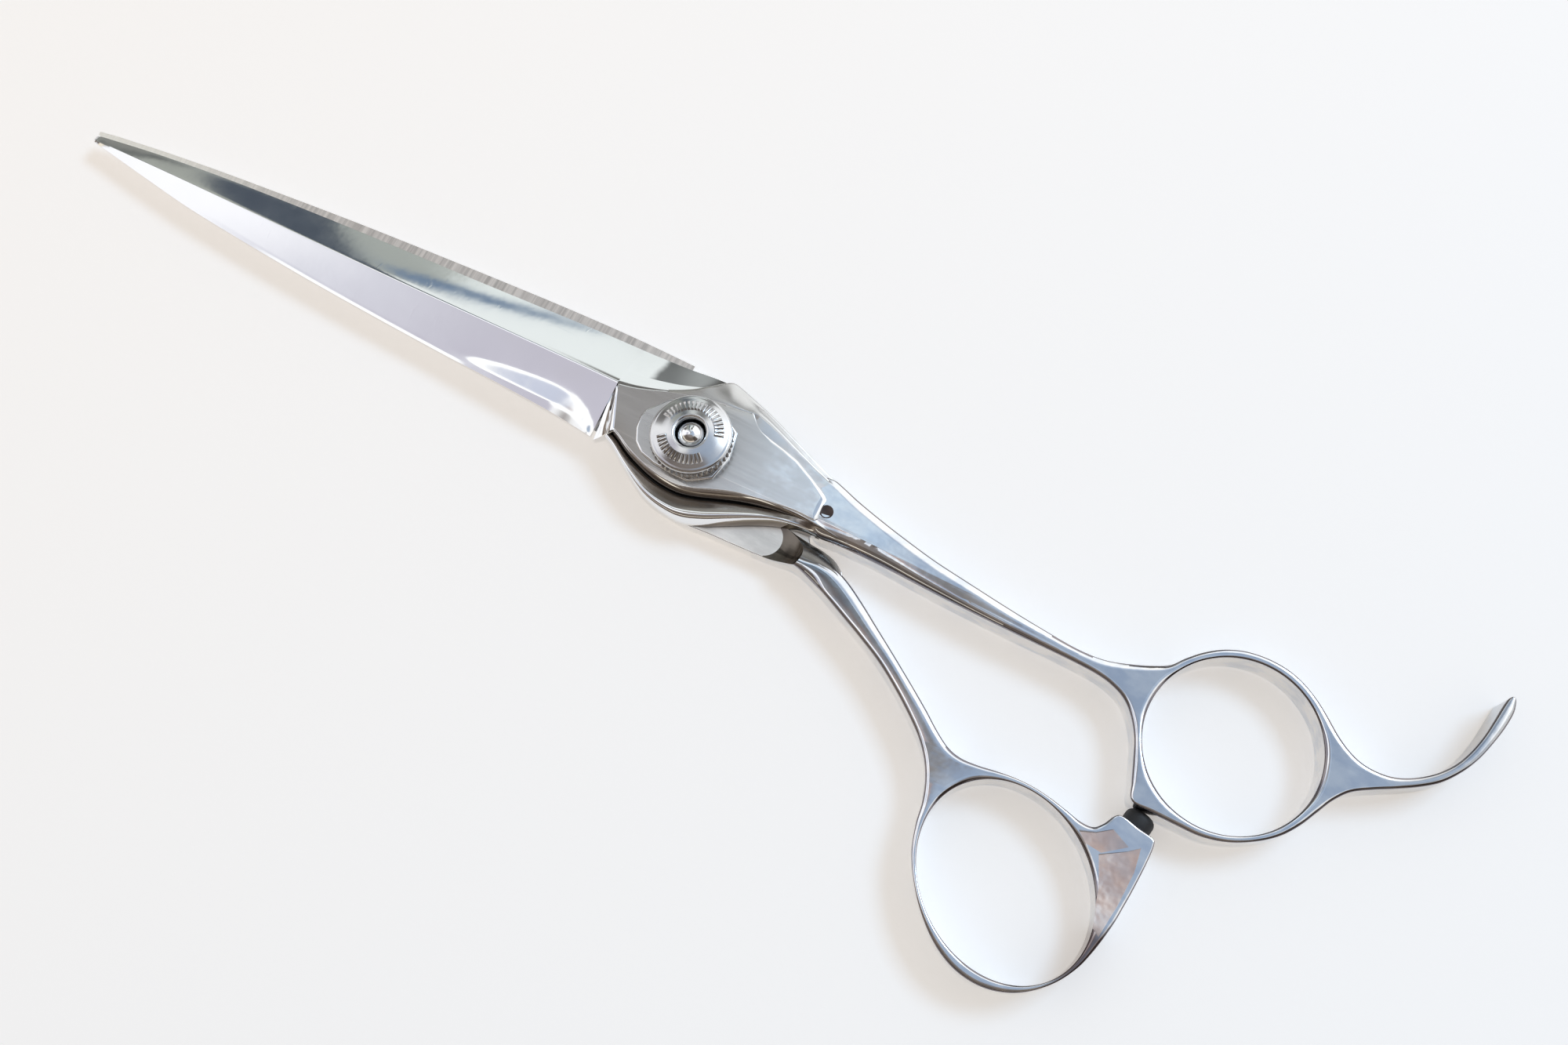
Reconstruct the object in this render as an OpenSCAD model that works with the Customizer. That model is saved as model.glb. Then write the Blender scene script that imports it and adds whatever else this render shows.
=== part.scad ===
// Hair cutting shears, offset handle, with tension dial, finger rest and bumper.
// Millimetres. Origin on the pivot axis, on the plane the shears rest on.
// +X runs from the pivot to the rings, -X to the tips, +Z is the dial side.

/* [View] */
// Sub-part to draw

/* [Heights] */
// Height of the flat top of the finger half above the resting plane
top_z = 5.2; // [4.6:0.1:6.0]
// Height of the underside of the rings and shanks
handle_z = 0.0; // [0:0.1:0.5]
// Height of the inner face of the thumb half
thumb_face_z = 2.7; // [2.4:0.05:3.0]
// Gap left between the two halves
half_gap = 0.12; // [0.08:0.01:0.3]
// Height of the outer face of the thumb tang
thumb_back_z = 0.6; // [0.5:0.05:1.0]

/* [Blades] */
// Distance from the pivot to the tips
blade_reach = 94.2; // [80:0.2:100]
// Height of the blade ridge above the resting plane, at its root
ridge_z = 5.1; // [4.6:0.05:5.5]
// Depth of the hollow in the inner face of the finger blade
hollow = 0.10; // [0:0.02:0.2]

/* [Handles] */
// Radius of the finger ring opening
finger_hole_r = 10.25; // [9.5:0.05:11]
// Centre of the finger ring, X
finger_x = 72.95; // [70:0.05:76]
// Centre of the finger ring, Y
finger_y = -3.75; // [-6:0.05:-2]
// Long half axis of the thumb ring opening
thumb_hole_a = 11.65; // [10:0.05:13]
// Short half axis of the thumb ring opening
thumb_hole_b = 9.5; // [9:0.05:11]
// Turn of the thumb ring opening
thumb_hole_turn = -37.5; // [-60:0.5:0]
// Centre of the thumb ring, X
thumb_x = 56.85; // [54:0.05:60]
// Centre of the thumb ring, Y
thumb_y = -29.5; // [-33:0.05:-27]
// Wall of the finger ring where it is thinnest
ring_wall = 1.0; // [0.8:0.05:2]
// Edge rounding of the handles
edge_r = 0.8; // [0.4:0.05:1.2]
// Rounding of the ring mouths
mouth_r = 0.6; // [0.3:0.05:1.0]

/* [Pivot] */
// Radius of the bolt where the thumb half turns on it
bolt_r = 2.5; // [2:0.05:3]
// Radial running clearance
run_gap = 0.03; // [0.01:0.01:0.1]
// Outer radius of the bearing bush
bush_r = 3.2; // [3:0.05:3.8]
// Radius of the bolt head
head_r = 4.2; // [3.8:0.1:5]
// Thickness of the bolt head
head_t = 0.9; // [0.7:0.05:1.2]
// Radius of the threaded end of the bolt
thread_r = 1.8; // [1.5:0.05:2]
// Thickness of the slip washer
washer_t = 0.56; // [0.4:0.02:0.8]
// Width across the flats of the keyed part of the bolt
key_w = 4.1; // [3.4:0.1:4.6]
// Radius of the domed tip of the bolt
tip_r = 1.4; // [1.2:0.05:1.6]
// Radius of the counterbore in the dial
dial_bore_r = 1.95; // [1.7:0.05:2.4]
// Number of knurl grooves round the dial
knurls = 30; // [20:1:48]
// Outer radius of the slip washer
washer_r = 4.6; // [4:0.1:6]
// Outer radius of the dial
dial_r = 5.25; // [4.8:0.05:6]
// Height of the knurled wall of the dial
dial_wall = 2.15; // [1.5:0.05:3]
// Height of the dome above the wall of the dial
dial_dome = 0.75; // [0.4:0.05:1.2]
// Thickness of the click plate
click_t = 0.32; // [0.2:0.02:0.6]

/* [Bumper] */
// Radius of the bumper head
bumper_r = 1.8; // [1.4:0.05:2.2]
// Length of the bumper stem
stem_l = 2.0; // [1.4:0.1:2.2]
// Radius of the bumper stem
stem_r = 1.0; // [0.7:0.05:1.3]
// Free gap between the bumper and the finger ring
bumper_gap = 0.2; // [0.16:0.01:0.5]

/* [Hidden] */
$fa = 6;
$fs = 0.25;
mate_z = thumb_face_z + half_gap;
click_z = top_z;
dial_z = click_z + click_t + 0.06;
dial_top = dial_z + dial_wall;
bk = blade_reach / 94.2;

// ---- curve and loft helpers ----
function cr1(a, b, c, d, t) = 0.5 * ((2 * b) + (c - a) * t + (2 * a - 5 * b + 4 * c - d) * t * t + (3 * b - a - 3 * c + d) * t * t * t);
function spline(p, n) = let (m = len(p)) [
    for (i = [0 : m - 2]) for (k = [0 : n - 1])
        let (a = p[max(i - 1, 0)], b = p[i], c = p[i + 1], d = p[min(i + 2, m - 1)]) cr1(a, b, c, d, k / n),
    p[m - 1]];
function cross_len(a, b) = norm([b[0] - a[0], b[1] - a[1]]);

// skin through equal-length rings of points, closed with fans at both ends
module loft(rings) {
    n = len(rings[0]);
    m = len(rings);
    pts = [for (r = rings) for (p = r) p];
    sides = [for (i = [0 : m - 2]) for (j = [0 : n - 1]) let (k = (j + 1) % n)
        each [[i * n + j, (i + 1) * n + j, (i + 1) * n + k], [i * n + j, (i + 1) * n + k, i * n + k]]];
    cap0 = [for (j = [1 : n - 2]) [0, j, j + 1]];
    cap1 = [for (j = [1 : n - 2]) [(m - 1) * n, (m - 1) * n + j + 1, (m - 1) * n + j]];
    polyhedron(points = pts, faces = concat(sides, cap0, cap1), convexity = 10);
}

// rounded bar section between the upper point and the lower point of a handle
function bar_ring(s, z0, z1, r) = let (
    a = [s[0], s[1]], b = [s[2], s[3]], w = norm(a - b), u = (a - b) / w,
    e = min(r, w * 0.42), h = e * 0.2929,
    q = [[0, z0 + e], [h, z0 + h], [e, z0], [w - e, z0], [w - h, z0 + h], [w, z0 + e],
         [w, z1 - e], [w - h, z1 - h], [w - e, z1], [e, z1], [h, z1 - h], [0, z1 - e]])
    [for (t = q) [b[0] + u[0] * t[0], b[1] + u[1] * t[0], t[1]]];

// ---- finger handle: upper x, upper y, lower x, lower y ----
finger_st = [
    [19.2, 3.40, 19.2, -3.48], [21.5, 2.72, 21.5, -3.28], [24.5, 1.98, 24.5, -3.16], [28, 1.22, 28, -3.14],
    [33, 0.28, 33, -3.30], [38, -0.35, 38, -3.40], [43, -0.93, 43, -3.42], [48, -1.42, 48, -3.35],
    [52.5, -1.72, 52.5, -3.30], [56, -1.42, 55.6, -3.38], [59, -0.42, 57.8, -3.75], [61.2, 0.55, 59.8, -4.6],
    [62.9, 1.55, 61.4, -6.1], [64.1, 3.05, 62.7, -8.1], [65.6, 4.62, 63.7, -10.5], [67.4, 5.95, 64.6, -12.9],
    [69.4, 6.88, 65.5, -14.85], [71.4, 7.32, 68.0, -15.0], [73.4, 7.42, 71.0, -15.0], [75.4, 7.18, 74.0, -14.85],
    [77.4, 6.52, 76.9, -14.0], [79.4, 5.45, 79.5, -12.5], [81.3, 4.12, 81.6, -10.7], [83.0, 2.82, 83.1, -8.6],
    [84.7, 1.80, 84.2, -6.4], [86.4, 1.18, 85.2, -4.35], [88.2, 1.02, 86.6, -2.5], [90.0, 1.28, 88.7, -1.05],
    [91.6, 1.95, 91.0, 0.30], [93.1, 2.95, 93.2, 1.72], [94.5, 4.25, 95.1, 3.30], [95.8, 6.05, 96.7, 5.50],
    [96.7, 8.1, 97.8, 7.75], [97.3, 10.3, 98.55, 10.1], [97.65, 12.5, 99.1, 12.4], [97.9, 14.4, 99.35, 14.4],
    [98.15, 15.6, 99.15, 15.65], [98.5, 16.15, 98.85, 16.18]];
// the outline follows the ring's centre, radius and wall
function ramp(x, a, b) = min(1, max(0, (x - a) / (b - a)));
function to_finger(x, y) = let (w = ramp(x, 24, 60), g = ramp(x, 52, 62), d = [x - 72.95, y + 3.75], grow = finger_hole_r + ring_wall - 11.25)
    [x, y] + w * [finger_x - 72.95, finger_y + 3.75] + g * grow * d / norm(d);
finger_sp = spline([for (s = finger_st) concat(to_finger(s[0], s[1]), to_finger(s[2], s[3]))], 3);
finger_join = 6;

// ---- thumb handle ----
thumb_st = [
    [17.4, -6.9, 17.4, -8.05], [19.0, -6.75, 19.0, -8.15], [21.0, -6.38, 21.0, -8.75], [23.2, -6.25, 22.9, -9.45],
    [25.2, -6.95, 24.7, -10.2], [27.8, -8.4, 27.0, -11.2], [30.6, -10.15, 29.6, -12.35], [34.0, -12.28, 32.9, -13.95],
    [37.3, -14.38, 36.2, -16.0], [40.2, -16.28, 39.0, -18.0], [42.6, -17.98, 41.1, -19.75], [44.6, -19.12, 42.7, -21.6],
    [46.4, -19.52, 43.9, -23.7], [48.4, -19.38, 44.7, -26.0], [50.6, -18.98, 45.2, -28.6], [52.9, -18.68, 46.2, -31.6],
    [55.2, -18.64, 47.9, -34.4], [57.5, -18.90, 50.0, -36.9], [59.6, -19.30, 52.6, -39.1], [61.4, -19.66, 55.3, -40.5],
    [62.9, -19.55, 58.0, -41.05], [63.8, -18.65, 60.5, -40.85], [64.5, -17.35, 62.8, -40.0], [65.3, -16.92, 64.8, -38.6],
    [67.4, -17.28, 66.6, -36.6], [69.3, -17.62, 67.9, -34.3], [69.75, -18.3, 68.6, -32.2], [69.85, -20.3, 69.1, -30.0],
    [69.8, -22.6, 69.45, -27.8], [69.7, -24.6, 69.6, -26.0]];
function to_thumb(x, y) = let (w = ramp(x, 24, 44), g = ramp(x, 40, 48), c = cos(thumb_hole_turn), n = sin(thumb_hole_turn),
    d = [x - 56.85, y + 29.5], l = [d[0] * c + d[1] * n, d[1] * c - d[0] * n] / norm(d), e = [l[0] * (thumb_hole_a - 11.65), l[1] * (thumb_hole_b - 9.5)])
    [x, y] + w * [thumb_x - 56.85, thumb_y + 29.5] + g * [e[0] * c - e[1] * n, e[0] * n + e[1] * c];
thumb_sp = spline([for (s = thumb_st) concat(to_thumb(s[0], s[1]), to_thumb(s[2], s[3]))], 3);
thumb_join = 12;

// ---- blades: x, cutting edge y, ridge y, spine y, share of the full height 0..1 ----
finger_bl = [
    [-94.2, 1.72, 1.40, 1.12, 0.03], [-93.7, 2.00, 1.14, 0.86, 0.14], [-92, 2.28, 1.13, 0.60, 0.19], [-88, 2.90, 1.20, 0.02, 0.29],
    [-84, 3.45, 1.28, -0.55, 0.37], [-76, 4.36, 1.40, -1.60, 0.51], [-66, 5.22, 1.53, -2.42, 0.63], [-56, 5.94, 1.66, -3.05, 0.73],
    [-46, 6.56, 1.82, -3.50, 0.81], [-36, 7.12, 2.05, -3.85, 0.87], [-26, 7.75, 2.32, -4.15, 0.93],
    [-18, 8.24, 2.50, -4.45, 0.98], [-12.2, 8.50, 2.64, -4.85, 1.00], [-10.0, 8.62, 2.98, -4.45, 1.00]];
finger_bs = spline(finger_bl, 3);
thumb_bl = [
    [-94.3, 2.68, 2.45, 2.20, 0.05], [-92, 3.10, 2.25, 1.45, 0.14], [-90, 3.40, 2.15, 0.95, 0.22], [-84, 4.22, 2.05, 0.05, 0.37],
    [-76, 5.15, 2.1, -0.65, 0.54], [-66, 6.12, 2.4, -1.35, 0.64], [-56, 7.02, 2.8, -1.95, 0.72],
    [-46, 7.78, 3.1, -2.45, 0.80], [-36, 8.46, 3.4, -2.80, 0.87], [-26, 9.08, 3.6, -3.10, 0.93],
    [-18, 9.46, 3.8, -3.40, 0.98], [-12.2, 9.62, 3.9, -3.75, 1.00], [-5.4, 9.66, 3.9, -4.6, 1.00]];
thumb_bs = spline(thumb_bl, 3);

function finger_sec(s) = let (
    ze = mate_z + 0.05, zr = ze + (ridge_z - ze) * s[4], zs = mate_z + min(0.28 + 0.30 * s[4], 0.55 * (zr - mate_z)),
    c = mate_z + hollow * (0.2 + 0.8 * s[4]), ym = (s[1] + s[3]) / 2, x = s[0] * bk)
    [[x, s[1], mate_z], [x, s[1], ze], [x, s[2], zr], [x, s[2] * 0.5 + s[3] * 0.5, (zr + zs) / 2 - 0.06 * s[4]],
     [x, s[3], zs], [x, s[3], mate_z], [x, ym, c]];
function thumb_sec(s) = let (
    zr = thumb_face_z - 0.12 - (thumb_face_z - thumb_back_z - 0.37) * s[4], zs = thumb_face_z - 0.06 - 0.12 * s[4],
    x = s[0] * bk)
    [[x, s[1], thumb_face_z], [x, s[3], thumb_face_z], [x, s[3], thumb_face_z - 0.05],
     [x, s[2] * 0.6 + s[3] * 0.4, (zr * 0.6 + thumb_face_z * 0.4) + 0.02], [x, s[2], zr], [x, s[1], zs]];

// ---- tang outlines ----
tang_up = [[-10.0, 8.62], [-8.2, 8.74], [-6.0, 8.92], [-3.5, 9.26], [-1.9, 9.50], [-0.2, 9.52], [1.7, 9.25], [3.7, 8.75],
    [6.3, 7.98], [9.0, 7.05], [12.0, 5.95], [15.6, 4.60], [17.6, 3.95], [19.2, 3.42]];
plate_up = [[-10.0, 2.98], [-8.9, 3.16], [-7.5, 3.44], [-6.0, 3.86], [-4.2, 4.42], [-2.0, 5.10], [0.2, 5.72], [2.6, 6.20],
    [5.6, 6.66], [8.4, 6.02], [11.4, 4.95], [14.6, 3.95], [17.2, 3.12], [19.2, 2.62]];
plate_lo = [[-9.6, -2.85], [-7.6, -3.9], [-5.4, -4.9], [-3.2, -5.62], [-1.0, -5.95], [1.2, -5.9], [3.2, -5.3], [5.4, -4.35],
    [7.8, -3.5], [10.4, -2.95], [13.2, -2.5], [16.0, -2.25], [19.2, -2.6]];
bar_lo = [[-10.4, -4.35], [-8.4, -5.35], [-6.4, -6.65], [-4.4, -7.85], [-2.0, -9.0], [0.6, -9.55], [3.2, -9.5], [5.8, -8.55],
    [8.4, -7.15], [11.0, -5.7], [13.8, -4.4], [16.6, -3.7], [19.2, -3.5]];
tang_up_s = spline(tang_up, 3);
plate_up_s = spline(plate_up, 3);
plate_lo_s = spline(plate_lo, 3);
bar_lo_s = spline(bar_lo, 3);
function rev(v) = [for (i = [len(v) - 1 : -1 : 0]) v[i]];

// sections of the flank that slopes from the flat top down to the upper tang contour
function flank_sec(i) = let (
    n = len(tang_up_s), a = plate_up_s[i], b = tang_up_s[i], t = i / (n - 1),
    zt = ((i < 9) ? ridge_z + (top_z - 0.02 - ridge_z) * i / 9 : top_z - 0.02),
    zo = mate_z + 0.05 + 1.35 * min(1, max(0, (t - 0.22) / 0.5)), u = (b - a) / norm(b - a), c = (a + b) / 2)
    [[b[0], b[1], mate_z], [b[0], b[1], zo], [a[0], a[1], zt], [a[0] - u[0] * 1.2, a[1] - u[1] * 1.2, zt - 0.12],
     [a[0] - u[0] * 2.4, a[1] - u[1] * 2.4, zt - 0.25], [a[0] - u[0] * 2.4, a[1] - u[1] * 2.4, mate_z + 0.1], [c[0], c[1], mate_z]];

// blade and flank in one skin, so the cutting edge runs on into the tang
module finger_skin() loft(concat([for (s = finger_bs) finger_sec(s)], [for (i = [2 : len(tang_up_s) - 1]) flank_sec(i)]));

// rounded bar along the lower edge of the tang with a valley between it and the plate
module tang_bar() {
    n = len(bar_lo_s);
    loft([for (i = [0 : n - 1]) let (
        a = plate_lo_s[i], b = bar_lo_s[i], t = i / (n - 1), w = norm(b - a), u = (b - a) / w,
        k = min(1, max(0, (t - 0.72) / 0.28)), zc = top_z - 0.85 + 0.55 * k, zv = top_z - 1.45 + 1.0 * k, e = min(0.55, w * 0.28))
        [[a[0] - u[0] * 1.6, a[1] - u[1] * 1.6, mate_z], [a[0] - u[0] * 1.6, a[1] - u[1] * 1.6, zv],
         [a[0] + u[0] * w * 0.18, a[1] + u[1] * w * 0.18, zv], [a[0] + u[0] * w * 0.42, a[1] + u[1] * w * 0.42, zc - 0.14],
         [a[0] + u[0] * w * 0.60, a[1] + u[1] * w * 0.60, zc], [b[0] - u[0] * e, b[1] - u[1] * e, zc - 0.22],
         [b[0], b[1], zc - 0.80], [b[0], b[1], mate_z]]]);
}

// raised plate with a pointed end
plate_end = [[18.15, 0.95], [18.25, -0.2], [18.3, -1.75]];
function plate_end_r() = [for (i = [len(plate_end) - 1 : -1 : 0]) plate_end[i]];
module plate_2d() polygon(concat(
    [[-12.05, 2.0]], [for (p = plate_lo_s) if (p[0] < 16.5) p], [[17.0, -2.05]], plate_end_r(), [[12.6, 3.75], [7.0, 4.95]],
    rev([for (p = plate_up_s) if (p[0] < 5.2) [p[0] + 0.02, p[1] - 0.06]]), [[-11.9, 2.45]]));

module finger_tang() {
    tang_bar();
    translate([0, 0, mate_z]) linear_extrude(top_z - 0.3 - mate_z) polygon(concat(
        [[-11.6, 2.1]], [for (p = plate_lo_s) if (p[0] < 18.6) p], [[19.4, -2.5], [19.4, 2.5]], rev([for (p = plate_up_s) if (p[0] < 18.6 && p[0] > -9.5) [p[0], p[1] - 0.3]]), [[-10.5, 2.5]]));
    translate([0, 0, top_z - 0.8]) linear_extrude(0.8) plate_2d();
    // end wall of the blade hollow
    hull() {
        translate([0, 0, top_z - 0.02]) linear_extrude(0.02) polygon([[-12.1, 1.95], [-9.6, -2.9], [-8.4, -1.5], [-8.4, 1.5]]);
        translate([0, 0, mate_z]) linear_extrude(0.3) polygon([[-12.1, 1.95], [-11.1, -4.95], [-9.9, -4.55], [-8.4, -3.2], [-8.4, 1.5]]);
    }
}

module dimple() {
    translate([18.85, -0.42, top_z - 1.1]) cylinder(r = 0.65, h = 2);
}

module finger_blade() color([0.80, 0.81, 0.83]) difference() {
    union() {
        finger_skin();
        finger_tang();
        loft([for (i = [0 : finger_join]) bar_ring(finger_sp[i], handle_z, top_z - 0.1, edge_r)]);
    }
    // keyed hole for the bolt
    translate([0, 0, mate_z - 1]) bolt_key(top_z);
    // seat for the slip washer
    translate([0, 0, mate_z - 1]) cylinder(r = washer_r + 0.05, h = 1 + washer_t - half_gap / 2);
    dimple();
}

module finger_handle() color([0.82, 0.83, 0.85]) difference() {
    loft([for (i = [finger_join : len(finger_sp) - 1]) bar_ring(finger_sp[i], handle_z, top_z - 0.1, edge_r)]);
    translate([finger_x, finger_y, 0]) ring_cut(finger_hole_r, handle_z, top_z - 0.1);
}

// round opening with rounded mouths
module ring_cut(r, z0, z1) rotate_extrude($fn = 96) polygon(concat(
    [[0, z0 - 1], [r + mouth_r, z0 - 1]],
    [for (a = [15 : 25 : 90]) [r + mouth_r - mouth_r * sin(a), z0 + mouth_r - mouth_r * cos(a) - 0.03]],
    [for (a = [90 : -25 : 15]) [r + mouth_r - mouth_r * sin(a), z1 - mouth_r + mouth_r * cos(a) + 0.03]],
    [[r + mouth_r, z1 + 1], [0, z1 + 1]]));

// oval opening with bevelled mouths
module oval_cut(z0, z1) {
    steps = 72;
    prof = [[mouth_r * 1.3, z0 - mouth_r * 0.7], [mouth_r * 0.3, z0 + mouth_r * 0.3], [0, z0 + mouth_r],
            [0, z1 - mouth_r], [mouth_r * 0.3, z1 - mouth_r * 0.3], [mouth_r * 1.3, z1 + mouth_r * 0.7]];
    m = len(prof);
    pts = concat([for (p = prof) for (i = [0 : steps - 1]) let (a = 360 * i / steps)
        [(thumb_hole_a + p[0]) * cos(a), (thumb_hole_b + p[0]) * sin(a), p[1]]],
        [[0, 0, z0 - mouth_r * 0.7], [0, 0, z1 + mouth_r * 0.7]]);
    f = concat(
        [for (j = [0 : m - 2]) for (i = [0 : steps - 1]) let (k = (i + 1) % steps)
            each [[j * steps + i, (j + 1) * steps + k, j * steps + k], [j * steps + i, (j + 1) * steps + i, (j + 1) * steps + k]]],
        [for (i = [0 : steps - 1]) let (k = (i + 1) % steps) [m * steps, i, k]],
        [for (i = [0 : steps - 1]) let (k = (i + 1) % steps) [m * steps + 1, (m - 1) * steps + k, (m - 1) * steps + i]]);
    rotate([0, 0, thumb_hole_turn]) polyhedron(points = pts, faces = f, convexity = 6);
}

thumb_tang = [[-9.5, -3.95], [-7.0, -5.35], [-4.6, -7.0], [-2.0, -8.35], [0.6, -9.05], [3.4, -9.25], [6.9, -8.95], [10.5, -8.75],
    [14.4, -8.45], [17.2, -8.02], [18.4, -7.86], [21.0, -8.3], [23.4, -9.0],
    [24.3, -7.4], [24.0, -6.1], [22.4, -4.9], [20.6, -4.45], [18.6, -4.3], [17.6, -2.2], [16.2, 0.6], [13.4, 3.3], [9.4, 5.4],
    [5.0, 7.0], [1.0, 8.3], [-2.0, 8.75], [-5.0, 8.85], [-6.2, 9.1], [-9.5, 9.0]];

// cutter for the end of the milled step
module step_cut() {
    translate([14.2, -5.9, thumb_face_z]) rotate_extrude() polygon(concat(
        [[0, 0]], [for (a = [0 : 15 : 90]) [1.2 + 3.1 * sin(a), 3.1 - 3.1 * cos(a)]], [[4.3, 6], [0, 6]]));
    translate([8, -12, thumb_face_z]) cube([6.2, 9, 6]);
}

module thumb_blade() color([0.78, 0.79, 0.82]) difference() {
    union() {
        loft([for (s = thumb_bs) thumb_sec(s)]);
        translate([0, 0, thumb_back_z + 0.35]) linear_extrude(thumb_face_z - thumb_back_z - 0.35) polygon(thumb_tang);
        translate([0, 0, thumb_back_z]) linear_extrude(0.36) offset(delta = -0.35) polygon(thumb_tang);
        loft([for (i = [0 : thumb_join]) bar_ring(thumb_sp[i], handle_z, top_z - 0.1, edge_r)]);
    }
    step_cut();
    // bore that holds the bush
    translate([0, 0, -1]) cylinder(r = bush_r, h = 6);
    // seat round the bolt head
    translate([0, 0, -1]) cylinder(r = head_r + 0.25, h = head_t + 0.1 + 1);
}

bump_ang = -9.6;
bump_x = 67.15 + thumb_x - 56.85;
bump_y = -17.24 + thumb_y + 29.5;
bump_z = (handle_z + top_z) / 2 + 0.1;
foot_y = finger_y - finger_hole_r - ring_wall;
bump_h = (foot_y - bump_y) / cos(bump_ang);
module along_bump() translate([bump_x, bump_y, bump_z]) rotate([0, 0, bump_ang]) rotate([-90, 0, 0]) children();

module thumb_handle() color([0.82, 0.83, 0.85]) difference() {
    loft([for (i = [thumb_join : len(thumb_sp) - 1]) bar_ring(thumb_sp[i], handle_z, top_z - 0.1, edge_r)]);
    translate([thumb_x, thumb_y, 0]) oval_cut(handle_z, top_z - 0.1);
    along_bump() translate([0, 0, -stem_l]) cylinder(r = stem_r, h = stem_l + 1);
}

module bumper() color([0.06, 0.06, 0.06]) {
    along_bump() translate([0, 0, -stem_l]) cylinder(r = stem_r, h = stem_l + 0.2);
    along_bump() rotate_extrude() polygon([[0, 0.06], [bumper_r, 0.06], [bumper_r, bump_h - bumper_gap - 0.7], [bumper_r - 0.18, bump_h - bumper_gap - 0.35],
        [bumper_r - 0.6, bump_h - bumper_gap - 0.1], [0.5, bump_h - bumper_gap], [0, bump_h - bumper_gap]]);
}

// round bar with two flats
module bolt_key(h) intersection() {
    cylinder(r = bolt_r, h = h);
    translate([-bolt_r, -key_w / 2, 0]) cube([bolt_r * 2, key_w, h]);
}

module pivot_bolt() color([0.75, 0.76, 0.78]) {
    // head with two holes for a pin key
    difference() {
        rotate_extrude() polygon([[0, 0], [head_r - 0.5, 0], [head_r, 0.35], [head_r, head_t], [0, head_t]]);
        for (a = [0, 180]) rotate([0, 0, a]) translate([head_r * 0.6, 0, -0.5]) cylinder(r = head_r * 0.13, h = 0.5 + head_t * 0.45);
    }
    // plain shank the thumb half turns on
    translate([0, 0, head_t - 0.01]) cylinder(r = bolt_r, h = mate_z + washer_t - half_gap / 2 - head_t + 0.01);
    // keyed part
    translate([0, 0, mate_z + washer_t - half_gap / 2 - 0.1]) bolt_key(top_z - mate_z - washer_t + half_gap / 2 + 0.1);
    // threaded end with a domed tip
    translate([0, 0, top_z - 0.01]) rotate_extrude() polygon(concat(
        [[0, 0], [thread_r, 0], [thread_r, dial_top - top_z - 0.35], [tip_r, dial_top - top_z - 0.1]],
        [for (a = [0 : 15 : 90]) [tip_r * cos(a), dial_top - top_z + 0.05 + 0.75 * sin(a)]]));
}

module pivot_bush() color([0.72, 0.60, 0.36]) translate([0, 0, head_t + 0.1]) difference() {
    cylinder(r = bush_r, h = thumb_face_z - head_t - 0.1);
    translate([0, 0, -1]) cylinder(r = bolt_r + run_gap, h = 5);
}

module slip_washer() color([0.93, 0.93, 0.90]) translate([0, 0, mate_z - half_gap / 2]) difference() {
    cylinder(r = washer_r, h = washer_t);
    translate([0, 0, -1]) cylinder(r = bolt_r, h = 3);
}

module click_plate() color([0.86, 0.84, 0.78]) translate([0, 0, click_z]) difference() {
    linear_extrude(click_t) polygon(dial_r / 5.25 * [[-7.15, 0.95], [-7.35, -0.2], [-7.05, -1.75], [-6.2, -3.35], [-4.9, -4.35], [-2.9, -4.9],
        [2.0, -5.0], [4.6, -3.2], [5.2, 0], [4.4, 3.4], [1.5, 5.1], [-2.4, 4.8], [-5.2, 3.5]]);
    translate([0, 0, -1]) cylinder(r = thread_r, h = 3);
}

module tension_dial() color([0.84, 0.84, 0.85]) translate([0, 0, dial_z]) difference() {
    union() {
        rotate_extrude() polygon(concat([[0, 0], [dial_r - 0.25, 0], [dial_r, 0.25], [dial_r, dial_wall - 0.25], [dial_r - 0.2, dial_wall]],
            [for (a = [15 : 15 : 90]) [(dial_r - 0.2) * cos(a), dial_wall + dial_dome * sin(a)]]));
    }
    translate([0, 0, -1]) cylinder(r = thread_r + run_gap, h = 8);
    translate([0, 0, dial_wall - 0.05]) cylinder(r = dial_bore_r, h = 3);
    // knurl grooves
    for (i = [0 : knurls - 1]) rotate([0, 0, i * 360 / knurls]) translate([dial_r + 0.13, 0, -1]) cylinder(r = 0.3, h = dial_wall + 0.92, $fn = 12);
}

finger_blade();
finger_handle();
thumb_blade();
thumb_handle();
pivot_bolt();
pivot_bush();
slip_washer();
click_plate();
tension_dial();
bumper();
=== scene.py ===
import math

import bmesh
import bpy
from mathutils import Matrix, Vector
from mathutils.geometry import tessellate_polygon


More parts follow.
